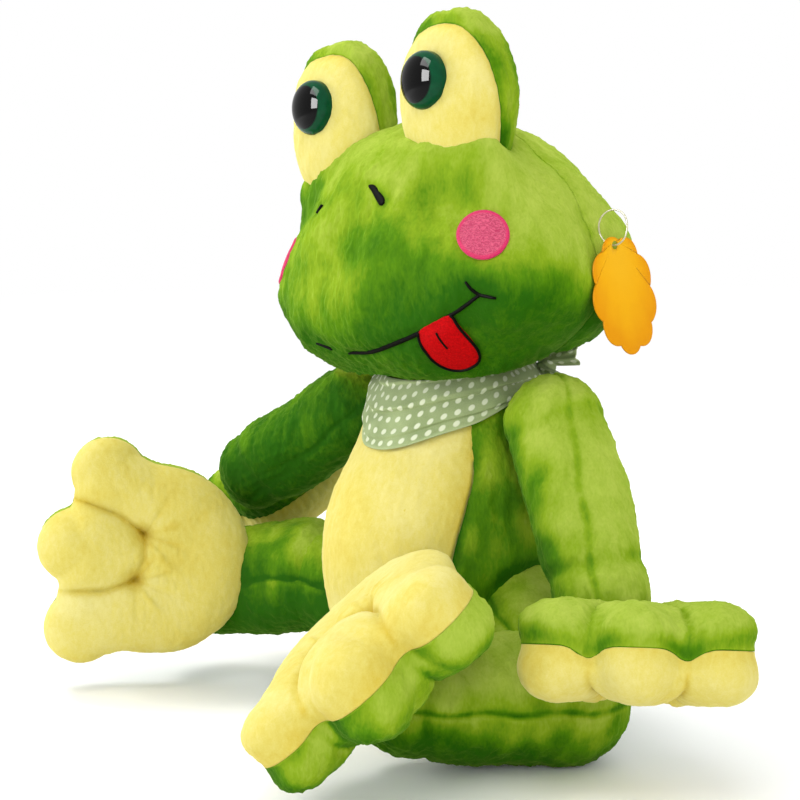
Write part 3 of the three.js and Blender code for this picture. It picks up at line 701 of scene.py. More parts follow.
def plush_material(name):
    """Tone = lean of the pile, with painted light, + four sizes of noise - fold as painted shade,
    read off a ramp of greens.
    """
    material, tree, shader = new_material(
        name, Roughness=0.92, Sheen_Weight=0.20, Sheen_Roughness=0.40,
        Sheen_Tint=(0.66, 0.95, 0.12, 1), Specular_IOR_Level=0.03)
    level = spots(tree)
    nap = spots(tree, (1, 1, 0.42))
    wide = noise(tree, level, 11, 2, 0.6)
    patch = noise(tree, level, 38, 3, 1.4)
    streak = noise(tree, nap, 170, 3, 0.7)
    fibre = noise(tree, nap, 800, 3, 0.3)
    fold, lean = attribute(tree, "fold"), attribute(tree, "nap")
    speckle = wide * 0.30 + patch * 0.26 + streak * 0.24 + fibre * 0.20
    # Painted light and shade: the lean paints tops light and far pieces dark, and fold paints
    # shade into seams and creases.
    tone = lean * 0.56 + speckle * 0.85 - 0.21 - fold * 0.20
    colour = tone.ramp((0.22, DEEP_GREEN), (0.42, LEAF_GREEN), (0.60, LIME_GREEN),
                       (0.86, PALE_GREEN))
    feed(shader, "Base Color", colour)
    feed(shader, "Roughness", 0.97 - streak * 0.12)
    bumps(tree, shader, streak * 0.5 + fibre * 0.5, 0.55, 0.0014)
    return material


green_plush = plush_material("green_plush")
print(green_plush.name, len(green_plush.node_tree.nodes), "nodes")

# %% [markdown]
# ## Yellow velboa
# The belly, palms, soles and the fronts of the eye stalks are a shorter, smoother pile. It
# needs the same layers with far less contrast, and painted shade, a deeper warmer yellow, down in
# its creases.

# %% Yellow velboa
DEEP_YELLOW = (0.50, 0.355, 0.020)
WARM_YELLOW = (0.59, 0.505, 0.115)
PALE_YELLOW = (0.65, 0.590, 0.225)


def velboa_material(name):
    """Tone = three sizes of noise - fold as painted shade, read off a ramp of yellows."""
    material, tree, shader = new_material(
        name, Roughness=0.9, Sheen_Weight=0.22, Sheen_Roughness=0.4,
        Sheen_Tint=(1, 0.96, 0.60, 1), Specular_IOR_Level=0.03)
    level = spots(tree)
    nap = spots(tree, (1, 1, 0.6))
    patch = noise(tree, level, 22, 2, 0.8)
    streak = noise(tree, nap, 330, 3, 0.4)
    fibre = noise(tree, level, 1300, 2)
    fold = attribute(tree, "fold")
    # Painted shade: fold darkens the seams and creases toward the deep yellow.
    tone = patch * 0.5 + streak * 0.26 + fibre * 0.16 - fold * 0.34
    colour = tone.ramp((0.12, DEEP_YELLOW), (0.40, WARM_YELLOW), (0.62, PALE_YELLOW))
    feed(shader, "Base Color", colour)
    feed(shader, "Roughness", 0.95 - streak * 0.1)
    bumps(tree, shader, streak * 0.4 + fibre * 0.4, 0.4, 0.0008)
    return material


yellow_velboa = velboa_material("yellow_velboa")
print(yellow_velboa.name, len(yellow_velboa.node_tree.nodes), "nodes")

# %% [markdown]
# ## Dressing a node
# A finished shell takes its material, rides on the body that the CAD gives its node and
# replaces that node.

# %% Dressing
BODY_OF = {node: cad["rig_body"] for node, cad in frame["nodes"].items()}


def trim(piece, node, material):
    """Gives a piece its material, and the body of the node that it is or is on."""
    piece.data.materials.append(material)
    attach(piece, BODY_OF[node])
    print(piece.name, len(piece.data.polygons), "faces")


def dress(piece, node, material, fill=None):
    """Puts a piece in a node's place. Its fill, how full a stuffed piece is, is not used."""
    trim(piece, node, material)
    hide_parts(node)


# %% [markdown]
# ## Shells found by rays
# Half a head or half a hand is easiest to reach from the middle of its seam: rays leave that
# point in every direction of one side, and each is cut short where it leaves the shape. Halving
# an interval finds that length for all the rays at once, whatever the shape is.

# %% Half shells


def halve(past, shape, reach, steps):
    """The last length of each ray that isn't past a limit, and the first that is."""
    low, high = np.zeros(shape), np.full(shape, float(reach))
    for _ in range(steps):
        half = (low + high) / 2
        over = past(half[..., None])
        low, high = np.where(over, low, half), np.where(over, half, high)
    return low, high


def ray_shell(value, centre, pole, reach, rows, turns, squash=1.0, dents=None,
              pinch_share=0.045, pinch_width=5.0):
    """Points where rays from centre leave value < 0, and how deep each lies in a fold.

    A row holds the rays of one tilt, from the seam's plane up to the pole, and squash slows
    the tilt near the seam of a flat shape. dents(points) gives millimetres inwards and fold.
    The pinch pulls the shell in beside its seam, by a share of the ray, over some degrees.
    """
    pole = np.asarray(pole, float)
    helper = np.array([0.0, 0, 1]) if abs(pole[2]) < 0.5 else np.array([0, 1.0, 0])
    first = np.cross(helper, pole)
    flat = round_about(whole_turn(turns), first, np.cross(pole, first))
    tilt = np.linspace(0, math.pi / 2, rows)
    tilt = np.arctan2(np.sin(tilt) * squash, np.cos(tilt))
    ways = round_about(tilt[:, None], flat, pole)
    length, _ = halve(lambda far: value(centre + ways * far) >= 0, ways.shape[:2], reach,
                      steps=20)
    fold = np.zeros(length.shape)
    if dents is not None:
        inward, fold = dents(centre + ways * length[..., None])
        length = length - inward
    pinch = groove(np.degrees(tilt), pinch_width)[:, None]
    grid = centre + ways * (length * (1 - pinch_share * pinch))[..., None]
    fold = np.clip(fold + 0.4 * pinch, 0, 1)
    floor = np.broadcast_to(centre, (1, turns, 3))
    return np.concatenate([floor, grid]), np.concatenate([fold[:1], fold])


def shift_seam(grid, pole, gap=0.15):
    """Moves a half shell off its seam's plane by a gap in millimetres."""
    return grid + gap * np.asarray(pole, float)


# %% [markdown]
# ## The head
# Two shells meet at a seam that runs from ear to ear over the top: the face with its broad
# muzzle, and the back. The mouth is stitched through the face, so the plush sinks along it.

# %% The mouth's path
mouth_corners = [(82, 29), (74, 23.2), (64.5, 18.4), (45, 11.6), (24, 7.4), (4, 4.4),
                 (-15, 3.9)]


def even_curve(corners, steps):
    """A smooth curve through corners, at equal steps of its length."""
    place = np.linspace(0, 1, 12 * len(corners))
    fine = [blend(column, place) for column in zip(*corners)]
    along = np.concatenate([[0], np.cumsum(np.hypot(*np.diff(fine, axis=1)))])
    even = np.linspace(0, along[-1], steps)
    return joined(*(np.interp(even, along, column) for column in fine))


def on_face(flat):
    """Points of the head's frame on the face, from across and height in millimetres."""
    across, height = flat[..., 0], flat[..., 1]
    return joined(across, bulb_front(HEAD, across, height + HEAD_DROP), height)


mouth_path = on_face(even_curve(mouth_corners, 90))
tick_paths = [on_face(even_curve(corners, 14)) for corners in (
    [(76.5, 36.5), (78.5, 33), (81.5, 29.5), (84, 28.5), (87.5, 27.5)],
    [(-27, 7.2), (-31, 8.4), (-34.5, 9.9), (-37.5, 11.6)])]
nostril_paths = [on_face(even_curve(corners, 16)) for corners in (
    [(15, 91), (18, 89.5), (22, 85.5), (27, 80.5)],
    [(-24, 85), (-25.2, 83.8), (-26.4, 82.2), (-27.2, 80.6)])]
print("mouth runs from", mouth_path[0].round(1), "to", mouth_path[-1].round(1))

# %% [markdown]
# ## The head's two shells
# The stuffing isn't even: a brow stands over each eye stalk's foot, the temple is hollow and
# the cheek full. Soft round cushions, added to the bulb, are the simplest way to place each one.

# %% The head's shells

def held_off_neck(piece, side):
    """Keeps a shell on its own side of the tilted neck plane: side 1 above and -1 below."""
    points, _ = read_mesh(piece)
    plane = neck_plane(points[:, 1], side * NECK_GAP)
    points[:, 2] = side * np.maximum(side * points[:, 2], side * plane)
    write_points(piece, points)


FACE_CUSHIONS = ((72, -38, 100, 18, -15.0), (48, -46, 110, 13, -5.0), (64, -54, 82, 21, 8.0),
                 (82, -54, 40, 16, -4.0), (72, -52, 14, 13, 4.0))
BROWS = (((80, -40, 98), 17, 9.0), ((56, -52, 98), 12, 3.0), ((-78, -40, 98), 14, 3.0))


def head_value(points):
    """Inside the bulb and above the tilted neck plane."""
    level = from_head(points)
    under = neck_plane(level[..., 1], NECK_GAP) > level[..., 2]
    return np.where(under, 1.0, bulb_value(HEAD, points + [0, 0, HEAD_DROP]))


def head_dents(points):
    """Millimetres inwards, and the fold: the mouth sinks by 1.5 mm and its ends by more.

    The cushions are soft round dents, or swellings below 0, of the stuffing on both sides: the
    brow under each eye stalk, the hollow temple, the full cheek and the jaw.
    """
    mouth = groove(path_distance(points, mouth_path[::3]), 4.5)
    ends = sum(groove(away_from(points, path[7]), 9) for path in tick_paths)
    nose = sum(groove(path_distance(points, path), 4) for path in nostril_paths)
    lip = groove(path_distance(points, mouth_path[::3] - [0, 0, 11]), 8)
    cushions = sum(depth * groove(away_from(points, [side * x, y, z]), reach)
                   for x, y, z, reach, depth in FACE_CUSHIONS for side in (1, -1))
    return 1.5 * mouth + 1.6 * ends + 0.8 * nose + 1.0 * lip + cushions, np.clip(
        0.4 * mouth + 0.2 * ends + 0.3 * nose, 0, 1)


HEAD_SEED, HEAD_LUMPS, HEAD_RINGS = 11, 0.9, (110, 300)
seam_middle = np.array([0.0, FACE_SEAM, 52.0])
for node, pole in (("head_face", (0, -1, 0)), ("head_back", (0, 1, 0))):
    grid, fold = ray_shell(head_value, seam_middle, pole, 170, *HEAD_RINGS, dents=head_dents,
                           pinch_share=0.022, pinch_width=3.2)
    for place, reach, rise in BROWS:
        grid[..., 2] += rise * groove(away_from(grid, place), reach)
    piece = closed_object(node + "_plush", from_head(shift_seam(grid, pole)), fold)
    raise_pile(piece, 0.26, HEAD_SEED, HEAD_LUMPS, (np.array(pole, float), HEAD_RINGS[1]))
    held_off_neck(piece, 1)
    dress(piece, node, green_plush, fill=0.9)

# %% [markdown]
# ## Eye stalks
# Each stalk is a flat pouch on top of the head, yellow in front and green behind. Its seam
# leans forward, so that the green comes over the top of the yellow like a lid.

# %% Eye stalks
SEAM_LEAN = math.radians(13)
STALK_RINGS = (56, 150)


def stalk_value(points):
    """Inside an eye stalk, in its own frame."""
    return bulb_value(STALK, points)


stalk_middle = np.array([0, 0, STALK["height"] / 2])
lean = np.array([0, -math.cos(SEAM_LEAN), -math.sin(SEAM_LEAN)])
for name, side in SIDES:
    foot = np.array(STALK_FOOT) * [side, 1, 1]
    for node, pole, cloth, pile in ((f"{name}_eye_panel", lean, yellow_velboa, 0.12),
                                    (f"{name}_eye_stalk", -lean, green_plush, 0.3)):
        grid, fold = ray_shell(stalk_value, stalk_middle, pole, 80, *STALK_RINGS, squash=0.7)
        piece = closed_object(node + "_cloth", from_head(shift_seam(grid, pole) + foot), fold)
        raise_pile(piece, pile, 21 + side, 0.6, (pole @ head_turn.T, STALK_RINGS[1]))
        dress(piece, node, cloth, fill=0.85)

# %% [markdown]
# ## Torso and belly
# The torso is a pear on a flat seat. Its belly panel is a second cloth let into the front: the
# green shell is drawn in along the panel's outline, and the panel puffs out between its seams.

# %% The torso
SEAM_SINK, PANEL_SINK, CREASE_SINK, CLOTH_SINK = 2.6, 3.4, 2.3, 2.2


def torso_point(height, turn):
    """A point of the torso's skin at a height over the seat and a turn from the left."""
    return bulb_point(TORSO, height, turn, SEAT_CUT)


def belly_half(height):
    """Half of the panel's width at a height; its corners are rounded like a quarter ellipse."""
    place = (height - BELLY_BOTTOM) / (BELLY_TOP - BELLY_BOTTOM)
    corner = np.clip(np.minimum((height - BELLY_BOTTOM) / 20, (BELLY_TOP - height) / 10), 0, 1)
    return BELLY_HALF_WIDTH * blend(BELLY_SHARES, place) * np.sqrt(1 - (1 - corner) ** 2.2)


def seated(points):
    """Flat on the seat, and flat where the neck begins."""
    level = points.copy()
    top = neck_plane(points[..., 1], -NECK_GAP)
    level[..., 2] = np.minimum(np.maximum(points[..., 2], 0), top)
    return level


def torso_grid(rows, turns):
    """The torso's skin and its folds.

    It is drawn in at the belly's seam, under the belly and the neckerchief, and round the balls
    of the limbs.
    """
    place = (1 - np.cos(np.linspace(0, math.pi, rows))) / 2
    height = place * TORSO["height"] - SEAT_CUT
    points = torso_point(height[:, None], whole_turn(turns)[None, :])
    inside = np.minimum(belly_half(points[..., 2]) - np.abs(points[..., 0]),
                        points[..., 2] - BELLY_BOTTOM)
    inside = np.where(points[..., 1] < 0, inside, -40)
    seam = groove(inside, 3.6)
    crease = sum(groove(away_from(points, ends[key]) - limb["radius"], 6)
                 for ends in ENDS.values() for key, limb in (("shoulder", ARM), ("hip", THIGH)))
    hem = NECK_HEIGHT - SCARF_BACK
    inward = (SEAM_SINK * seam + PANEL_SINK * smooth(inside, 0, 5)
              + CREASE_SINK * np.clip(crease, 0, 1)
              + CLOTH_SINK * smooth(points[..., 2], hem, hem + 7))
    points = points - unit(points * [1, 1, 0], least=1e-6) * inward[..., None]
    return points, np.clip(0.9 * seam + 0.7 * crease, 0, 1)


points, fold = torso_grid(230, 300)
piece = closed_object("torso_plush", seated(points), fold)
raise_pile(piece, 0.26, 31, lumps=0.8)
held_off_neck(piece, -1)
dress(piece, "torso", green_plush, fill=0.85)

# %% [markdown]
# ## The belly panel
# The panel is its own piece of yellow cloth. It follows the torso's front and puffs out a little
# between its seams, so a ring carried up it is enough, and no sculpting is needed.

# %% The belly panel

def belly_grid(rows, turns, thick=4.0):
    """Rows run up the panel, and a ring goes across its front and back behind it."""
    height = np.linspace(BELLY_BOTTOM + 0.4, BELLY_TOP - 0.4, rows)[:, None]
    ring = whole_turn(turns)[None, :]
    share = np.cos(ring)
    across = (belly_half(height) - 0.5) * share
    puff = np.sqrt(np.clip(1 - share ** 2, 0, 1)) ** 0.7
    end = smooth(height, BELLY_BOTTOM, BELLY_BOTTOM + 16)
    depth = bulb_front(TORSO, across, height + SEAT_CUT)
    front = np.sin(ring) < 0
    out = np.where(front, 1.2 * puff * end - 1.6, -thick)
    seam = np.broadcast_to(np.where(front, 1 - puff, 1), across.shape)
    return joined(across, depth - out, height), seam


points, fold = belly_grid(150, 200)
piece = closed_object("belly_panel_cloth", points, np.clip(0.8 * fold - 0.2, 0, 1))
raise_pile(piece, 0.12, 41, lumps=0.5)
dress(piece, "belly_panel", yellow_velboa, fill=0.8)

# %% [markdown]
# ## Arms and legs
# A limb is a stuffed tube with a ball at its root. Its long seam is a shallow groove on the
# side that faces a given way, and a few soft ring wrinkles show where it bends.

# %% Limbs


def near_turn(angle):
    """An angle brought to between half a turn back and half a turn on."""
    return np.angle(np.exp(1j * angle))


def limb_grid(limb, way, start, rows, turns, seam_way, drift, wrinkles):
    """A limb's skin, and rings of (place, depth) along it.

    Its seam lies toward seam_way half way along and drifts round by some radians from end
    to end; small random pulls of the thread keep it from being a straight line.
    """
    root = np.linspace(0, math.pi / 2, 40)
    along = np.linspace(0, 1, 60)[1:]
    end_radius = limb["radius"] * limb["shares"][-1]
    tip = root[1:]
    radii = np.concatenate([limb["radius"] * np.sin(root),
                            limb["radius"] * blend(limb["shares"], along),
                            end_radius * np.cos(tip)])
    heights = np.concatenate([-limb["radius"] * np.cos(root), limb["length"] * along,
                              limb["length"] + limb["end"] * end_radius * np.sin(tip)])
    radius, height = (line[:, None] for line in even_profile(radii, heights, rows))
    turn = whole_turn(turns)
    axes = limb_turn(way)
    local = np.asarray(seam_way, float) @ axes
    wander = drift * (height / limb["length"] - 0.5) + 0.03 * np.sin(height / 6.1)
    away = radius * near_turn(turn - math.atan2(local[1], local[0]) - wander)
    full = smooth(radius, 4, 14)
    seam = groove(away, 1.7) * full * (0.75 + 0.25 * np.sin(height / 2.9) * np.sin(height / 7.3))
    rings = sum(depth * groove(height - place * limb["length"]
                               - 3 * np.sin(2 * turn + place * 9), 4.0)
                for place, depth in wrinkles)
    reach = radius - 1.2 * seam - 1.1 * groove(away, 7.5) * full - rings
    flat = joined(reach * np.cos(turn), reach * np.sin(turn), height)
    return flat @ axes.T + start, np.clip(seam + 0.35 * rings, 0, 1)


SEAM_WAYS = {
    "left": dict(arm=(0.80, -0.60, 0.0), thigh=(0.76, -0.60, -0.1), shin=(0.85, -0.45, -0.02)),
    "right": dict(arm=(0.55, -0.75, -0.5), thigh=(0.6, -0.7, 0.1), shin=(0.4, -0.9, 0.1)),
}
SEAM_DRIFTS = dict(arm=0.5, thigh=0.0, shin=0.0)
WRINKLES = dict(arm=((0.05, 0.8), (0.9, 1.2)), thigh=((0.0, 0.8),),
                shin=((0.95, 1.3), (0.2, 0.6)))
for name, side in SIDES:
    ends = ENDS[name]
    for limb, size, start, rows, turns in (("arm", ARM, "shoulder", 150, 140),
                                           ("thigh", THIGH, "hip", 90, 150),
                                           ("shin", SHIN, "knee", 150, 160)):
        grid, fold = limb_grid(size, ends[limb], ends[start], rows, turns,
                               SEAM_WAYS[name][limb], side * SEAM_DRIFTS[limb],
                               WRINKLES[limb])
        piece = closed_object(f"{name}_{limb}_plush", grid, fold)
        raise_pile(piece, 0.26, 51 + side, lumps=0.9)
        dress(piece, f"{name}_{limb}", green_plush, fill=0.85)

# %% [markdown]
# ## The outline of a hand or foot
# A hand is two layers of cloth sewn round the rim and stuffed, then stitched through between
# the digits. Its outline is three round bars and a heel run softly together, its rim rounds
# over like a pillow's, and the stitched channels are sharp valleys that end in a pucker.

# %% The outline of a pad


PAD_RINGS = (72, 280)


def cone(points, start, end, first, last):
    """Distance outside a bar with round ends whose radius goes from first to last."""
    far, share = bar_distance(points, np.array(start, float), np.array(end, float))
    return far - first - (last - first) * share


def run_together(distances, soft):
    """Smooth union: -soft log(sum(exp(-distance/soft)))."""
    stack = np.stack(distances)
    least = stack.min(axis=0)
    return least - soft * np.log(np.exp(-(stack - least) / soft).sum(axis=0))


def outline_distance(pad, flat):
    """Millimetres outside the outline: a middle digit, two tapered side digits and a heel."""
    wide, long = pad["half_width"], pad["half_length"]
    middle, side_tip, side_root = (share * wide for share in pad["digit_shares"])
    parts = [cone(flat, (0, 0), (0, 1.06 * long - middle), middle, middle)]
    for side in (1, -1):
        tip = (side * pad["tip_shares"][0] * wide, pad["tip_shares"][1] * long)
        parts.append(cone(flat, (0, 0), tip, side_root, side_tip))
    heel = np.array(pad["heel_shares"]) * [wide, long]
    round_heel = np.sum(np.abs(flat / heel) ** 2.2, axis=-1) ** (1 / 2.2)
    parts.append((round_heel - 1) * heel.min())
    return run_together(parts, 1.1)


def pad_value(pad):
    """Below 0 inside a slab with a round rim: |z| under thick (1 - (1 - inner)^2.3)^(1/2.3)."""
    round_over = 0.40 * pad["half_width"]

    def value(points):
        inner = np.clip(-outline_distance(pad, points[..., :2]) / round_over, 0, 1)
        allowed = pad["half_thick"] * (1 - (1 - inner) ** 2.3) ** (1 / 2.3)
        return np.where(inner > 0, np.abs(points[..., 2]) - allowed, 1.0)

    return value


print("outline at a fingertip", outline_distance(HAND, np.array([0.0, 48.8])).round(2))

# %% [markdown]
# ## Channels and puckers
# Two rows of stitches go through a hand from back to palm and make three fingers of one bag.
# Each row is a valley that ends in a pinch, from which small folds run out.

# %% Channels and puckers


def pad_channels(pad):
    """The two stitched channels, from the notch beside the middle digit to a pinch."""
    wide, long = pad["half_width"], pad["half_length"]
    return [np.array([(side * 0.42 * wide, 1.0 * long, 0), (side * 0.39 * wide, 0.66 * long, 0),
                      (side * 0.33 * wide, 0.36 * long, 0), (side * 0.20 * wide, 0.12 * long, 0)])
            for side in (1, -1)]


def pad_relief(pad, points, channels):
    """Share of the height lost in the channels and wrinkles, and the fold that they make.

    A channel is a sharp valley, exp(-distance/width), in a wide soft one, so that each digit
    swells like a ball between its stitches; small folds run out of the pinched ends.
    """
    level = points * [1, 1, 0]
    away = [path_distance(level, path) for path in channels]
    sharp = sum(np.exp(-far / 2.1) for far in away)
    wide_valley = sum(groove(far, 9) for far in away)
    line = sum(groove(far, 1.5) for far in away)
    ends = [path[-1] for path in channels]
    behind = np.array([ends[0], (ends[0] + ends[1]) / 2 + [0, -3, 0], ends[1]])
    between = np.exp(-path_distance(level, behind) / 3.2)
    pinch, pucker = 0, 0
    for end in ends:
        far = away_from(level, end)
        angle = np.arctan2(level[..., 1] - end[1], level[..., 0] - end[0])
        heelward = smooth(-np.sin(angle), -0.3, 0.5)
        pinch = pinch + groove(far, 6)
        pucker = pucker + np.cos(5 * angle + 0.9) ** 5 * groove(far - 13, 11) * heelward
    pillow = groove(np.hypot(level[..., 0] / 0.30 / pad["half_width"],
                             (level[..., 1] - 0.60 * pad["half_length"])
                             / 0.42 / pad["half_length"]), 1.0)
    height = (-0.22 * np.clip(sharp, 0, 1) - 0.09 * np.clip(wide_valley, 0, 1)
              - 0.16 * np.clip(pinch, 0, 1) - 0.15 * np.clip(between, 0, 1)
              - 0.05 * pucker + pad["pillow_share"] * pillow)
    fold = np.clip(0.5 * line + 0.6 * pinch + 0.35 * between + 0.25 * np.abs(pucker), 0, 1)
    return height, fold


def pad_half(pad, up, deep):
    """One half of a pad, up 1 or down -1: its skin in the pad's own frame, and its fold.

    The rim's cloth is gathered in small pleats at the heel and waves between the digits.
    """
    grid, fold = ray_shell(pad_value(pad), np.zeros(3), (0, 0, up), 1.8 * pad["half_length"],
                           *PAD_RINGS, squash=0.6, pinch_share=0.075, pinch_width=9)
    height, crease = pad_relief(pad, grid, pad_channels(pad))
    grid[..., 2] *= 1 + deep * height
    top = smooth(np.abs(grid[..., 2]), 1.5, 9)
    turn = np.arctan2(grid[..., 0], -grid[..., 1])
    rim = groove(grid[..., 2], 7) * smooth(-grid[..., 1], -5, 20)
    gather = 1 - 0.018 * rim * np.sin(pad["half_width"] / 2.6 * turn) ** 2
    border = sum(groove(path_distance(grid * [1, 1, 0], path[:2]), 7)
                 for path in pad_channels(pad))
    wave = pad["seam_wave"] * (0.35 - np.clip(border, 0, 1)) * smooth(grid[..., 1], -5, 15)
    grid[..., 2] += wave * groove(grid[..., 2], 14)
    grid[..., :2] *= gather[..., None]
    return grid, np.clip(fold + crease * top, 0, 1)


print("a channel ends at", pad_channels(HAND)[0][-1].round(1))

# %% [markdown]
# ## Hands and feet
# The same pad serves for both, with its own sizes. The upper half is green and the lower one
# yellow, and they meet at the rim without a gap.

# %% Hands and feet
for name, side in SIDES:
    ends = ENDS[name]
    for limb, pad, end, halves in (("hand", HAND, "wrist", ("hand_back", "hand_palm")),
                                   ("foot", FOOT, "ankle", ("foot_upper", "foot_sole"))):
        axes = pad_turn(side, *LIES[name][limb])
        place = ends[end] + axes @ np.array([side * pad["offset"], pad["setback"], -pad["rise"]])
        for half, up, cloth, pile, deep in zip(halves, (1, -1), (green_plush, yellow_velboa),
                                               (0.26, 0.10), (0.7, 0.95)):
            grid, fold = pad_half(pad, up, deep)
            spot = shift_seam(grid, (0, 0, up), 0.05) @ axes.T + place
            piece = closed_object(f"{name}_{half}_cloth", spot, fold)
            raise_pile(piece, pile, 71 + side, 0.5, (axes[:, 2], PAD_RINGS[1]))
            dress(piece, f"{name}_{half}", cloth, fill=0.8)

# %% [markdown]
# ## Safety eyes
# A safety eye is a moulded dome on a stem. The black pupil and the dark green ring lie in one
# glossy skin, so one dome with rings of colour by its radius is enough. The locking washer
# behind the cloth is the CAD's own.

# %% Eyes
eye_material, tree, shader = new_material("black_dome", Specular_IOR_Level=0.11)
radius = attribute(tree, "ring")
shimmer = noise(tree, spots(tree), 260, 2)
band = radius.between(0.76, 0.82)
feed(shader, "Base Color", (band * (0.6 + shimmer * 0.6)).mix((0.0015, 0.0015, 0.0015, 1),
                                                             (0.001, 0.060, 0.022, 1)))
feed(shader, "Roughness", 0.04 + shimmer * 0.02)


def eye_grid(rows, turns, edge=1):
    """A stem, a flat rim with a rounded edge, and a dome that bulges along -Y."""
    turn = whole_turn(turns)
    arc = np.linspace(0, math.pi / 2, rows)
    quarter = np.linspace(-math.pi / 2, 0, 8)
    radii = np.concatenate([[0, EYE_STEM_RADIUS, EYE_STEM_RADIUS], EYE_RADIUS - edge
                            + edge * np.cos(quarter), EYE_RADIUS * np.cos(arc[:-1]), [0]])[:, None]
    depths = np.concatenate([[EYE_STEM_LENGTH, EYE_STEM_LENGTH, 0], -edge - edge
                             * np.sin(quarter), -EYE_RIM - EYE_BULGE * np.sin(arc)])[:, None]
    grid = joined(radii * np.cos(turn), depths, radii * np.sin(turn))
    return grid, np.broadcast_to(radii / EYE_RADIUS, grid.shape[:2])


for name, side in SIDES:
    grid, ring = eye_grid(30, 96)
    spot = np.array(EYE_PLACE) * [side, 1, 1]
    piece = closed_object(f"{name}_eye_dome", from_head(grid + spot))
    mark(piece, "ring", ring)
    dress(piece, f"{name}_eye", eye_material)

# %% [markdown]
# ## Threads on the face
# The mouth, its ticks and the nostrils are satin stitch: a low, round ridge of black thread.
# A ring carried along a path, thin at its ends, makes each of them.

# %% Threads
thread_black, tree, shader = new_material("black_thread", Roughness=0.55,
                                          Base_Color=(0.003, 0.003, 0.002, 1),
                                          Specular_IOR_Level=0.03)
bumps(tree, shader, noise(tree, spots(tree), 1500, 2), 0.4, 0.0004)


def carried_ring(path, half_width, half_height, out, turns=14):
    """A flattened ring carried along a path, wide across it and tall along out."""
    way = unit(np.gradient(path, axis=0))
    out = unit(out - (out * way).sum(axis=1)[:, None] * way)
    across = np.broadcast_to(half_width, len(path))[:, None] * np.cross(way, out)
    body = path[:, None] + round_about(whole_turn(turns), across[:, None],
                                       half_height * out[:, None])
    start, end = (np.broadcast_to(path[k], (1, turns, 3)) for k in (0, -1))
    return np.concatenate([start, body, end])


def head_out(points):
    """The way out of the head's front: the gradient of the bulb's value."""
    raised = points + [0, 0, HEAD_DROP]
    return unit(joined(*(bulb_value(HEAD, raised + move) - bulb_value(HEAD, raised - move)
                         for move in 0.5 * np.eye(3))))


def on_plush(points):
    """Points of the bulb's skin moved onto the finished face: down its grooves, up its lumps."""
    inward, _ = head_dents(points)
    lumps = pile_height(from_head(points), 0.0, HEAD_SEED, HEAD_LUMPS)
    return (points - unit(points - seam_middle) * inward[..., None]
            + head_out(points) * lumps[..., None])


def stitches(name, path, out, widths, tall):
    """A ridge of black thread along a path that lies on the cloth."""
    grid = carried_ring(path, widths, tall, out)
    trim(closed_object(name, from_head(grid)), "head_face", thread_black)


def thread(name, path, widths, tall=0.9, lift=0.5):
    """Stitches along a path of the bulb's skin, lifted a little out of the plush."""
    out = head_out(path)
    stitches(name, on_plush(path) + lift * out, out, widths, tall)


def tapered(steps, power):
    """A thread's width along its length, from a half sine wave cut short at both ends."""
    return np.sin(np.linspace(0.3, math.pi - 0.3, steps)) ** power


thread("mouth_thread", mouth_path, 1.25 * tapered(90, 0.3))
for (name, side), tick, nostril, wide in zip(SIDES, tick_paths, nostril_paths, (1.7, 0.6)):
    thread(f"{name}_mouth_tick", tick, 0.95 * tapered(14, 0.4))
    thread(f"{name}_nostril", nostril, wide * (0.9 + 0.6 * np.linspace(0, 1, 16))
           * np.sqrt(1 - np.linspace(-0.93, 0.97, 16) ** 6), 1.2)

# %% [markdown]
# ## Cheeks
# A cheek is a disc filled with pink stitches inside a bolder rim. A wave texture bent by noise
# lies like rows of stitches, and the disc is slid onto the finished face so that it can't float.

# %% Cheeks
CHEEK_RADIUS = 13.5
CHEEK_PLACE = (82, 60)
cheek_material, tree, shader = new_material("pink_thread", Roughness=0.6,
                                            Specular_IOR_Level=0.07, Sheen_Weight=0.1)
where = spots(tree)
stitch = tree.node("ShaderNodeTexWave", {"bands_direction": "Z"},
                   {"Vector": where, "Scale": 210.0, "Distortion": 13.0, "Detail": 2.0,
                    "Detail Scale": 2.0})
rim = attribute(tree, "ring").between(0.84, 0.9)
speck = noise(tree, where, 700, 2)
pinks = (0.2, (0.40, 0.025, 0.085)), (0.8, (0.62, 0.090, 0.175))
feed(shader, "Base Color", rim.mix((stitch * 0.5 + speck * 0.5).ramp(*pinks),
                                   (0.58, 0.025, 0.11, 1)))
bumps(tree, shader, stitch * 0.6 + speck * 0.4, 0.6, 0.0008)


def slide_onto(points, way, reach=60):
    """Moves points along a way until they meet the head's skin."""
    raised = points + [0, 0, HEAD_DROP]
    _, length = halve(lambda far: bulb_value(HEAD, raised + way * far) <= 0,
                      points.shape[:-1], reach, steps=22)
    return points + way * length[..., None]


share = np.concatenate([np.linspace(0, 1, 26), [1.0, 0.0]])[:, None]
crown = 0.9 + 0.7 * (1 - share ** 4) + 0.45 * groove(share - 0.92, 0.07)
crown[-2:] = -1.5
for name, side in SIDES:
    middle = on_face(np.array(CHEEK_PLACE) * [side, 1])
    out = head_out(middle)
    up = unit(np.array([0, 0, 1.0]) - out[2] * out)
    disc = middle + CHEEK_RADIUS * share[..., None] * round_about(whole_turn(72),
                                                                  np.cross(up, out), up)
    grid = on_plush(slide_onto(disc + 20 * out, -out)) + crown[..., None] * out
    piece = closed_object(f"{name}_cheek_thread", from_head(grid))
    mark(piece, "ring", np.broadcast_to(share, grid.shape[:2]))
    dress(piece, f"{name}_cheek_patch", cheek_material)

# %% [markdown]
# ## Tongue
# The tongue is a tab of red felt sewn into the mouth, with black thread round its edge and down
# its middle. The threads reuse the stitches of the mouth.

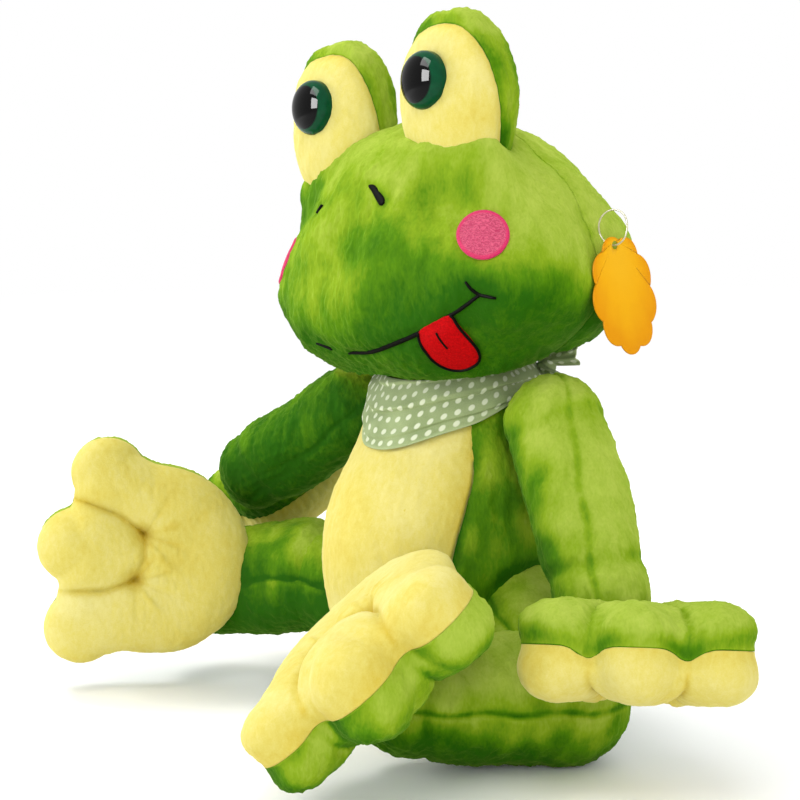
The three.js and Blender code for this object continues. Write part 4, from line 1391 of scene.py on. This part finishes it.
# %% Tongue
TONGUE_CORNERS = np.array([[[44.5, 12.6], [67.5, 20.4]], [[40.6, -9.2], [66.0, -1.0]]])
felt, tree, shader = new_material("red_felt", Roughness=0.8, Specular_IOR_Level=0.03,
                                  Sheen_Weight=0.06, Sheen_Tint=(1, 0.2, 0.2, 1))
nap = noise(tree, spots(tree), 900, 3, 0.6)
feed(shader, "Base Color", nap.ramp((0.3, (0.33, 0.0, 0.001)), (0.7, (0.54, 0.001, 0.003))))
bumps(tree, shader, nap, 0.35, 0.0006)


def tongue_flat(share, turn):
    """Across and height on the face: a tab whose lower corners are round.

    A superellipse of power 7 above and 2.5 below gives the unit tab, and the four corners
    that the tab was traced with carry it onto the face.
    """
    power = np.where(np.sin(turn) > 0, 2 / 7, 2 / 2.5)
    across = (0.5 + 0.5 * share * signed_power(np.cos(turn), power))[..., None]
    down = (0.5 - 0.5 * share * signed_power(np.sin(turn), power))[..., None]
    top, low = (left * (1 - across) + right * across for left, right in TONGUE_CORNERS)
    return top * (1 - down) + low * down


def tongue_skin(share, turn, lift):
    """Points of the tab, lifted off the finished face by some millimetres."""
    spot = on_face(tongue_flat(share, turn))
    return on_plush(spot) + np.asarray(lift)[..., None] * head_out(spot)


share = np.concatenate([np.linspace(0, 1, 24), [1.0, 0.0]])[:, None]
lift = 1.3 + 0.9 * (1 - share ** 3)
lift[-2:] = -1.0
grid = tongue_skin(share, whole_turn(120)[None, :], lift)
dress(closed_object("tongue_felt", from_head(grid)), "tongue", felt)
rim = tongue_skin(1.0, np.linspace(0.8, -math.pi - 0.8, 110), 1.5)
stitches("tongue_edge_thread", rim, head_out(rim), 0.75, 0.85)
down = np.linspace(0.20, 0.55, 20)[:, None]
top, low = TONGUE_CORNERS.mean(axis=1)
line = on_face(top * (1 - down) + low * down)
line = on_plush(line) + 2.3 * head_out(line)
stitches("tongue_line_thread", line, head_out(line), 0.55, 0.5)

# %% [markdown]
# ## Neckerchief
# A triangle of thin dotted cotton, folded over and over into a band and knotted behind the left
# shoulder. It is drawn as one sheet round the neck whose folds step out and fall back, and
# its dots follow the cloth through a UV map in millimetres.

# %% Dotted cotton
DOT_PITCH, DOT_RADIUS = 7.0, 1.7
cotton, tree, shader = new_material("dotted_cotton", Roughness=0.85, Sheen_Weight=0.12,
                                    Specular_IOR_Level=0.10)
cloth = tree.node("ShaderNodeUVMap", {"uv_map": "cloth"})
parts = tree.node("ShaderNodeSeparateXYZ", None, {0: cloth})
cells = [(Wire(tree.tree, parts.socket.node.outputs[axis]) / DOT_PITCH).fraction() - 0.5
         for axis in (0, 1)]
far = (cells[0] * cells[0] + cells[1] * cells[1]) ** 0.5
mask = 1 - far.between(DOT_RADIUS / DOT_PITCH * 0.75, DOT_RADIUS / DOT_PITCH * 1.2)
weave = noise(tree, spots(tree), 1600, 2)
shade = noise(tree, spots(tree), 60, 2)
green = (shade * 0.7 + weave * 0.3).ramp((0.3, (0.215, 0.280, 0.115)), (0.7, (0.33, 0.40, 0.19)))
printed = (mask * 0.85).mix(green, (0.66, 0.70, 0.52, 1))
feed(shader, "Base Color", (attribute(tree, "fold") * 0.6).mix(printed, (0.40, 0.47, 0.24, 1)))
bumps(tree, shader, weave, 0.3, 0.0004)

# %% [markdown]
# ## Cloth from a grid
# A cloth is a thin sheet, so its mesh stays open and a Solidify modifier gives it thickness. Its
# UV map is laid out in millimetres, so that the dots keep their size, and its flat size is
# measured from the same lengths.

# %% Sheets


def write_uv(piece, corners):
    """Gives each corner of each face its place on the flat cloth, in millimetres."""
    piece.data.uv_layers.new(name="cloth").data.foreach_set("uv", corners.ravel())


def open_object(name, grid, uv, fold):
    """A sheet from a grid of rows and columns; it closes where uv has a column more."""
    number = np.arange(fold.size).reshape(fold.shape)
    if uv.shape[1] > grid.shape[1]:
        number = wrapped(number, 1)
    piece = new_object(name, grid.reshape(-1, 3), grid_quads(number).tolist())
    places = np.arange(uv.size // 2).reshape(uv.shape[:2])
    write_uv(piece, uv.reshape(-1, 2)[grid_quads(places)])
    write_values(piece, "fold", fold)
    return piece


def flat_uv(sheet):
    """Millimetres along and across the cloth, from the lengths of the grid's own lines."""
    across = np.linalg.norm(np.diff(sheet, axis=0), axis=-1)
    along = np.linalg.norm(np.diff(sheet[len(sheet) // 2], axis=0), axis=-1)
    return joined(np.concatenate([[0], np.cumsum(along)]),
                  np.concatenate([0 * across[:1], np.cumsum(across, axis=0)]))


def sheet_area(sheet):
    """Area of a sheet in square metres, from the cross products of its cells' sides."""
    a, b = np.diff(sheet, axis=0)[:, :-1], np.diff(sheet, axis=1)[:-1]
    return np.linalg.norm(np.cross(a, b), axis=-1).sum() * MM * MM


def cloth_piece(name, node, grid, fold, sheet, dressing, thick=0.6):
    """A piece of cotton with its flat size, made thick inwards from its face."""
    uv = flat_uv(sheet)
    piece = open_object(name, grid, uv, fold)
    wall = piece.modifiers.new("cloth", "SOLIDIFY")
    wall.thickness, wall.offset = thick * MM, -1
    dressing(piece, node, cotton)


print("area of a trial sheet", sheet_area(1000.0 * np.array([[[0, 0, 0], [1, 0, 0]],
                                                             [[0, 1, 0], [1, 1, 0]]])))

# %% [markdown]
# ## The band
# The band is pushed out from the torso's skin in folds and ends just under the head. A cloth
# simulation would give much the same, but it is slower and never twice quite the same.

# %% The band


def neck_rim(turn):
    """Height of the neck plane over the torso's skin, less a small clearance."""
    rim = np.full(turn.shape, float(NECK_HEIGHT))
    for _ in range(6):
        depth = torso_point(rim, turn)[..., 1]
        rim = neck_plane(np.minimum(depth, depth * 1.1), -0.8)
    return rim


def saw(place, corner):
    """Out over a rounded corner at each whole number, and slowly back."""
    step = place % 1
    return smooth(step, 0, corner) * (1 - step) ** 0.8


def band_grid(rows, turns):
    """Across runs from the hem up to the neck.

    The cloth is folded over on itself, so a section steps out at each fold's edge and falls
    back above it: a saw whose corners are rounded. The folds wander round the neck, gather
    toward the knot, and small wrinkles run off them.
    """
    turn = whole_turn(turns)
    across = np.linspace(0, 1, rows)[:, None]
    from_front = near_turn(turn + math.radians(101))
    pace = np.where(from_front < 0, 2.4, 0.78)
    tip = np.clip(np.cos(np.clip(from_front * pace, -1.6, 1.6)), 0, 1) ** 1.6
    hem = NECK_HEIGHT - SCARF_BACK - (SCARF_FRONT - SCARF_BACK) * tip
    hem = hem + 0.9 * np.sin(6 * turn + 1) * (0.3 + tip)
    height = hem + (neck_rim(turn) - hem) * across
    skin = torso_point(height, turn)
    drift = (across + 0.16 * np.sin(turn - 0.4) + 0.05 * np.sin(3 * turn + 1)
             + 0.03 * np.sin(5 * turn) * across)
    folds = (2.3 * saw(drift * SCARF_FOLDS, 0.16)
             + 1.2 * saw(drift * 1.7 + 0.35 + 0.12 * np.sin(2 * turn), 0.14))
    wrinkle = waves(skin, 13, 5, stretch=(1.8, 1.8, 0.8)) * 0.35
    inner = np.sin(math.pi * np.clip(across * 0.96 + 0.03, 0, 1)) ** 0.35
    out = np.clip(1.6 + inner * folds + wrinkle * inner, 0.9, None)
    grid = skin + unit(skin * [1, 1, 0]) * out[..., None]
    grid[..., 2] = np.minimum(grid[..., 2], neck_plane(grid[..., 1], -0.5))
    return grid


band = band_grid(110, 380)
hem_fold = np.broadcast_to(groove(np.arange(110) - 1, 3)[:, None], band.shape[:2]) * 0.9
cloth_piece("neckerchief_band", "neckerchief", band, hem_fold, wrapped(band, 1), dress)

# %% [markdown]
# ## The knot
# Behind the shoulder the ends pass through a small knot and fan out as two short tails. The
# knot is a pleated barrel, and each tail is a sheet that widens in a few soft pleats.

# %% Knot and tails
KNOT_TURN = math.radians(42)
KNOT_RADIUS, KNOT_LENGTH, KNOT_RISE, TAIL_LENGTH = 7.2, 11, 3.5, 21
knot_skin = torso_point(NECK_HEIGHT - 3.0, KNOT_TURN)
knot_way = unit(np.array([math.cos(KNOT_TURN), math.sin(KNOT_TURN), -0.25]))
knot_axes = limb_turn(knot_way)


def knot_grid(rows, turns):
    """A short barrel along the knot's way, pleated by a cosine round it."""
    turn = whole_turn(turns)
    place = np.linspace(0, 1, rows)[:, None]
    pleats = 1 + 0.08 * np.cos(7 * turn + 6 * place)
    reach = KNOT_RADIUS * np.sin(math.pi * place) ** 0.5 * pleats
    flat = joined(reach * np.cos(turn), 0.8 * reach * np.sin(turn), KNOT_LENGTH * place)
    return flat @ knot_axes.T + knot_skin + KNOT_RISE * knot_way


def tail_grid(rows, columns, way, roll):
    """A sheet that leaves the knot along a way, widens, and ruffles more toward its hem."""
    down = np.linspace(0, 1, rows)[:, None]
    side = np.linspace(-1, 1, columns)[None, :]
    pleat = (2.2 - 0.8 * down) * np.sin(2.5 * math.pi * side + roll)
    ruffle = 1.7 * down ** 2 * np.sin(4.6 * math.pi * side + 2 * roll)
    flat = joined((3.5 + 8 * down ** 0.8) * side, pleat + ruffle, 6 + TAIL_LENGTH * down
                  - 3 * side ** 2 * down + 0.9 * down * np.sin(7 * side + roll))
    turned = flat @ about_z(roll).T @ limb_turn(unit(np.array(way, float))).T
    return turned + knot_skin


piece = closed_object("neckerchief_knot_wrap", knot_grid(26, 60))
loops = np.empty(len(piece.data.loops), int)
piece.data.loops.foreach_get("vertex_index", loops)
local = (read_mesh(piece)[0] - knot_skin) @ knot_axes
write_uv(piece, joined(KNOT_RADIUS * np.arctan2(local[:, 1], local[:, 0]), local[:, 2])[loops])
dress(piece, "neckerchief_knot", cotton)
TAIL_ROWS, TAIL_COLUMNS = 34, 60
from_end = (TAIL_COLUMNS - 1) / 2
edge = np.maximum(groove(np.arange(TAIL_ROWS)[:, None] - TAIL_ROWS + 1, 1.6),
                  groove(np.abs(np.arange(TAIL_COLUMNS) - from_end) - from_end, 1.8))
for index, (way, roll) in enumerate((((18, 10, 9), 0.5), ((18, 7, -9), 1.7))):
    grid = tail_grid(TAIL_ROWS, TAIL_COLUMNS, way, roll)
    cloth_piece(f"neckerchief_tail_{index + 1}", "neckerchief_knot", grid, edge, grid, trim)

# %% [markdown]
# ## Hang tag
# A stiff card cut to a cloud's outline hangs from a clear nylon loop in the head's seam. The
# card is left bare: a soft two-tone print with a paler middle is all that it shows.

# %% The card
TAG_HALF_WIDTH, TAG_HALF_HEIGHT, TAG_SCALLOP, TAG_SCALLOPS = 22, 31, 3, 9
TAG_HOLE_RADIUS, TAG_HOLE_MARGIN, CARD_THICKNESS = 2.2, 5, 1.0
TAG_SLANT, TAG_YAW = math.radians(12), math.radians(-12)
LOOP_RADIUS, LOOP_STRAND, LOOP_INSET, LOOP_HEIGHT = 9, 0.45, 1.5, 60
LOOP_TURN = math.radians(9)


loop_place = bulb_point(HEAD, LOOP_HEIGHT, LOOP_TURN, HEAD_DROP)
loop_offset = LOOP_RADIUS - LOOP_INSET


def from_loop(points):
    """From the frame of the loop, in the head's seam, to the frog's."""
    return from_head(points @ about_z(LOOP_TURN).T + loop_place)


def from_tag(points):
    """From the card's own frame, with its hole at the origin, to the frog's."""
    turned = points @ about_z(TAG_SLANT).T @ about_x(math.pi / 2).T
    return from_loop(turned @ about_z(math.pi / 2 + TAG_YAW).T + [loop_offset, 0, -LOOP_RADIUS])


def card_grid(turns):
    """Rings from the hole out over the face, round the edge and back behind to the hole."""
    turn = whole_turn(turns)
    wave = TAG_SCALLOP * np.abs(np.sin(TAG_SCALLOPS * turn / 2)) ** 0.8
    rim = joined((TAG_HALF_WIDTH - TAG_SCALLOP + wave) * np.cos(turn),
                 (TAG_HALF_HEIGHT - TAG_SCALLOP + wave) * np.sin(turn)
                 - TAG_HALF_HEIGHT + TAG_HOLE_MARGIN)
    hole = TAG_HOLE_RADIUS * joined(np.cos(turn), np.sin(turn))
    share = np.concatenate([np.linspace(0, 0.985, 14), [1.0, 1.0], np.linspace(0.985, 0, 14)])
    half = CARD_THICKNESS / 2
    tall = np.concatenate([np.full(14, half), [half * 0.7, -half * 0.7], np.full(14, -half)])
    flat = hole + (rim - hole) * share[:, None, None]
    curl = 0.0008 * ((flat[..., 1] + TAG_HALF_HEIGHT) ** 2 - TAG_HALF_HEIGHT ** 2)
    return joined(flat[..., 0], flat[..., 1], tall[:, None] + curl), share


tag_card, tree, shader = new_material("tag_card", Roughness=0.42, Specular_IOR_Level=0.06)
mottle = noise(tree, spots(tree), 400, 2)
wide = noise(tree, spots(tree), 55, 1)
tone = attribute(tree, "ring") * 0.75 + wide * 0.25 + mottle * 0.06
feed(shader, "Base Color", tone.ramp((0.2, (0.72, 0.38, 0.009)), (0.55, (0.70, 0.34, 0.003)),
                                     (0.85, (0.63, 0.25, 0.001))))
feed(shader, "Roughness", 0.36 + mottle * 0.12)

grid, share = card_grid(216)
piece = ring_object("hang_tag_card", from_tag(grid))
write_values(piece, "ring", np.repeat(share, 216))
dress(piece, "hang_tag", tag_card)

# %% [markdown]
# ## The loop
# The tag hangs on a thin clear fastener. Its clearness hardly shows at this size, so a pale
# glossy strand is enough.

# %% The loop
strand, tree, shader = new_material("nylon_strand", Roughness=0.25, Specular_IOR_Level=0.6,
                                    Base_Color=(0.45, 0.42, 0.26, 1))
feed(shader, "Roughness", 0.2 + noise(tree, spots(tree), 300, 2) * 0.15)


def loop_grid(turns=160, sides=14):
    """A thin ring carried round the loop, which droops to a teardrop at the card's hole."""
    turn = whole_turn(turns)
    level = LOOP_RADIUS * np.cos(turn)
    drooped = level * (1 - 0.08 * np.cos(turn) ** 2) + loop_offset
    path = joined(np.where(drooped < 1.5, level + loop_offset, drooped),
                  0.5 * np.sin(2 * turn), LOOP_RADIUS * np.sin(turn))
    way = unit(np.roll(path, -1, axis=0) - np.roll(path, 1, axis=0))
    across = unit(np.array([0.0, 1, 0]) - way * way[:, 1:2])
    ring = round_about(whole_turn(sides), across[:, None], np.cross(way, across)[:, None])
    return from_loop(path[:, None] + LOOP_STRAND * ring)


dress(ring_object("tag_loop_strand", loop_grid()), "tag_loop", strand)

# %% [markdown]
# ## The washers
# The two locking washers keep the CAD's shape and only take a moulded nylon finish.

# %% Washers
nylon, tree, shader = new_material("white_nylon", Roughness=0.5)
grain = noise(tree, spots(tree), 500, 2)
feed(shader, "Base Color", grain.ramp((0.3, (0.70, 0.70, 0.67)), (0.7, (0.82, 0.82, 0.79))))
for name, _ in SIDES:
    for slot in frame["nodes"][f"{name}_eye_washer"].material_slots:
        slot.material = nylon

# %% [markdown]
# ## Floor and light
# A pale sheet to stand on and a bright soft sky for the white surround. Four large lamps light
# the cloth, the strongest from above the camera. The two windows show only in gloss, where they
# give the eyes their highlights.

# %% Floor and light
floor_material, tree, shader = new_material("pale_floor", Roughness=0.9,
                                            Base_Color=(1, 1, 1, 1), Specular_IOR_Level=0)
feed(shader, "Roughness", 0.85 + noise(tree, spots(tree), 20, 2) * 0.1)
corners = 6000.0 * np.array([[-1, -1, 0], [1, -1, 0], [1, 1, 0], [-1, 1, 0]])
floor = new_object("floor", corners - [0, 0, 0.4], [[0, 1, 2, 3]])
floor.data.materials.append(floor_material)

world = bpy.data.worlds.new("pale_sky")
world.use_nodes = True
world.node_tree.nodes["Background"].inputs["Color"].default_value = (1, 1, 1, 1)
world.node_tree.nodes["Background"].inputs["Strength"].default_value = 1.0
bpy.context.scene.world = world
bpy.context.scene.view_settings.view_transform = "Standard"
for name, place, watts, size in (("key", (0.9, -0.9, 1.7), 10, 0.8),
                                 ("side", (-1.2, -1.1, 0.62), 9, 0.5),
                                 ("front", (1.15, -1.05, 0.5), 2.5, 0.6),
                                 ("top", (-0.9, -0.2, 1.5), 9.5, 0.55),
                                 ("window", (0.12, -1.7, 0.70), 130, 0.85),
                                 ("soft window", (-0.1, -1.1, 1.7), 50, 1.0)):
    lamp = bpy.data.objects.new(name, bpy.data.lights.new(name, "AREA"))
    lamp.data.energy = watts
    lamp.data.size = size
    lamp.visible_glossy = "window" in name
    lamp.visible_diffuse = not lamp.visible_glossy
    lamp.location = place
    lamp.rotation_euler = aimed(Vector((0, 0, 0.2)) - Vector(place))
    bpy.context.collection.objects.link(lamp)

# %% [markdown]
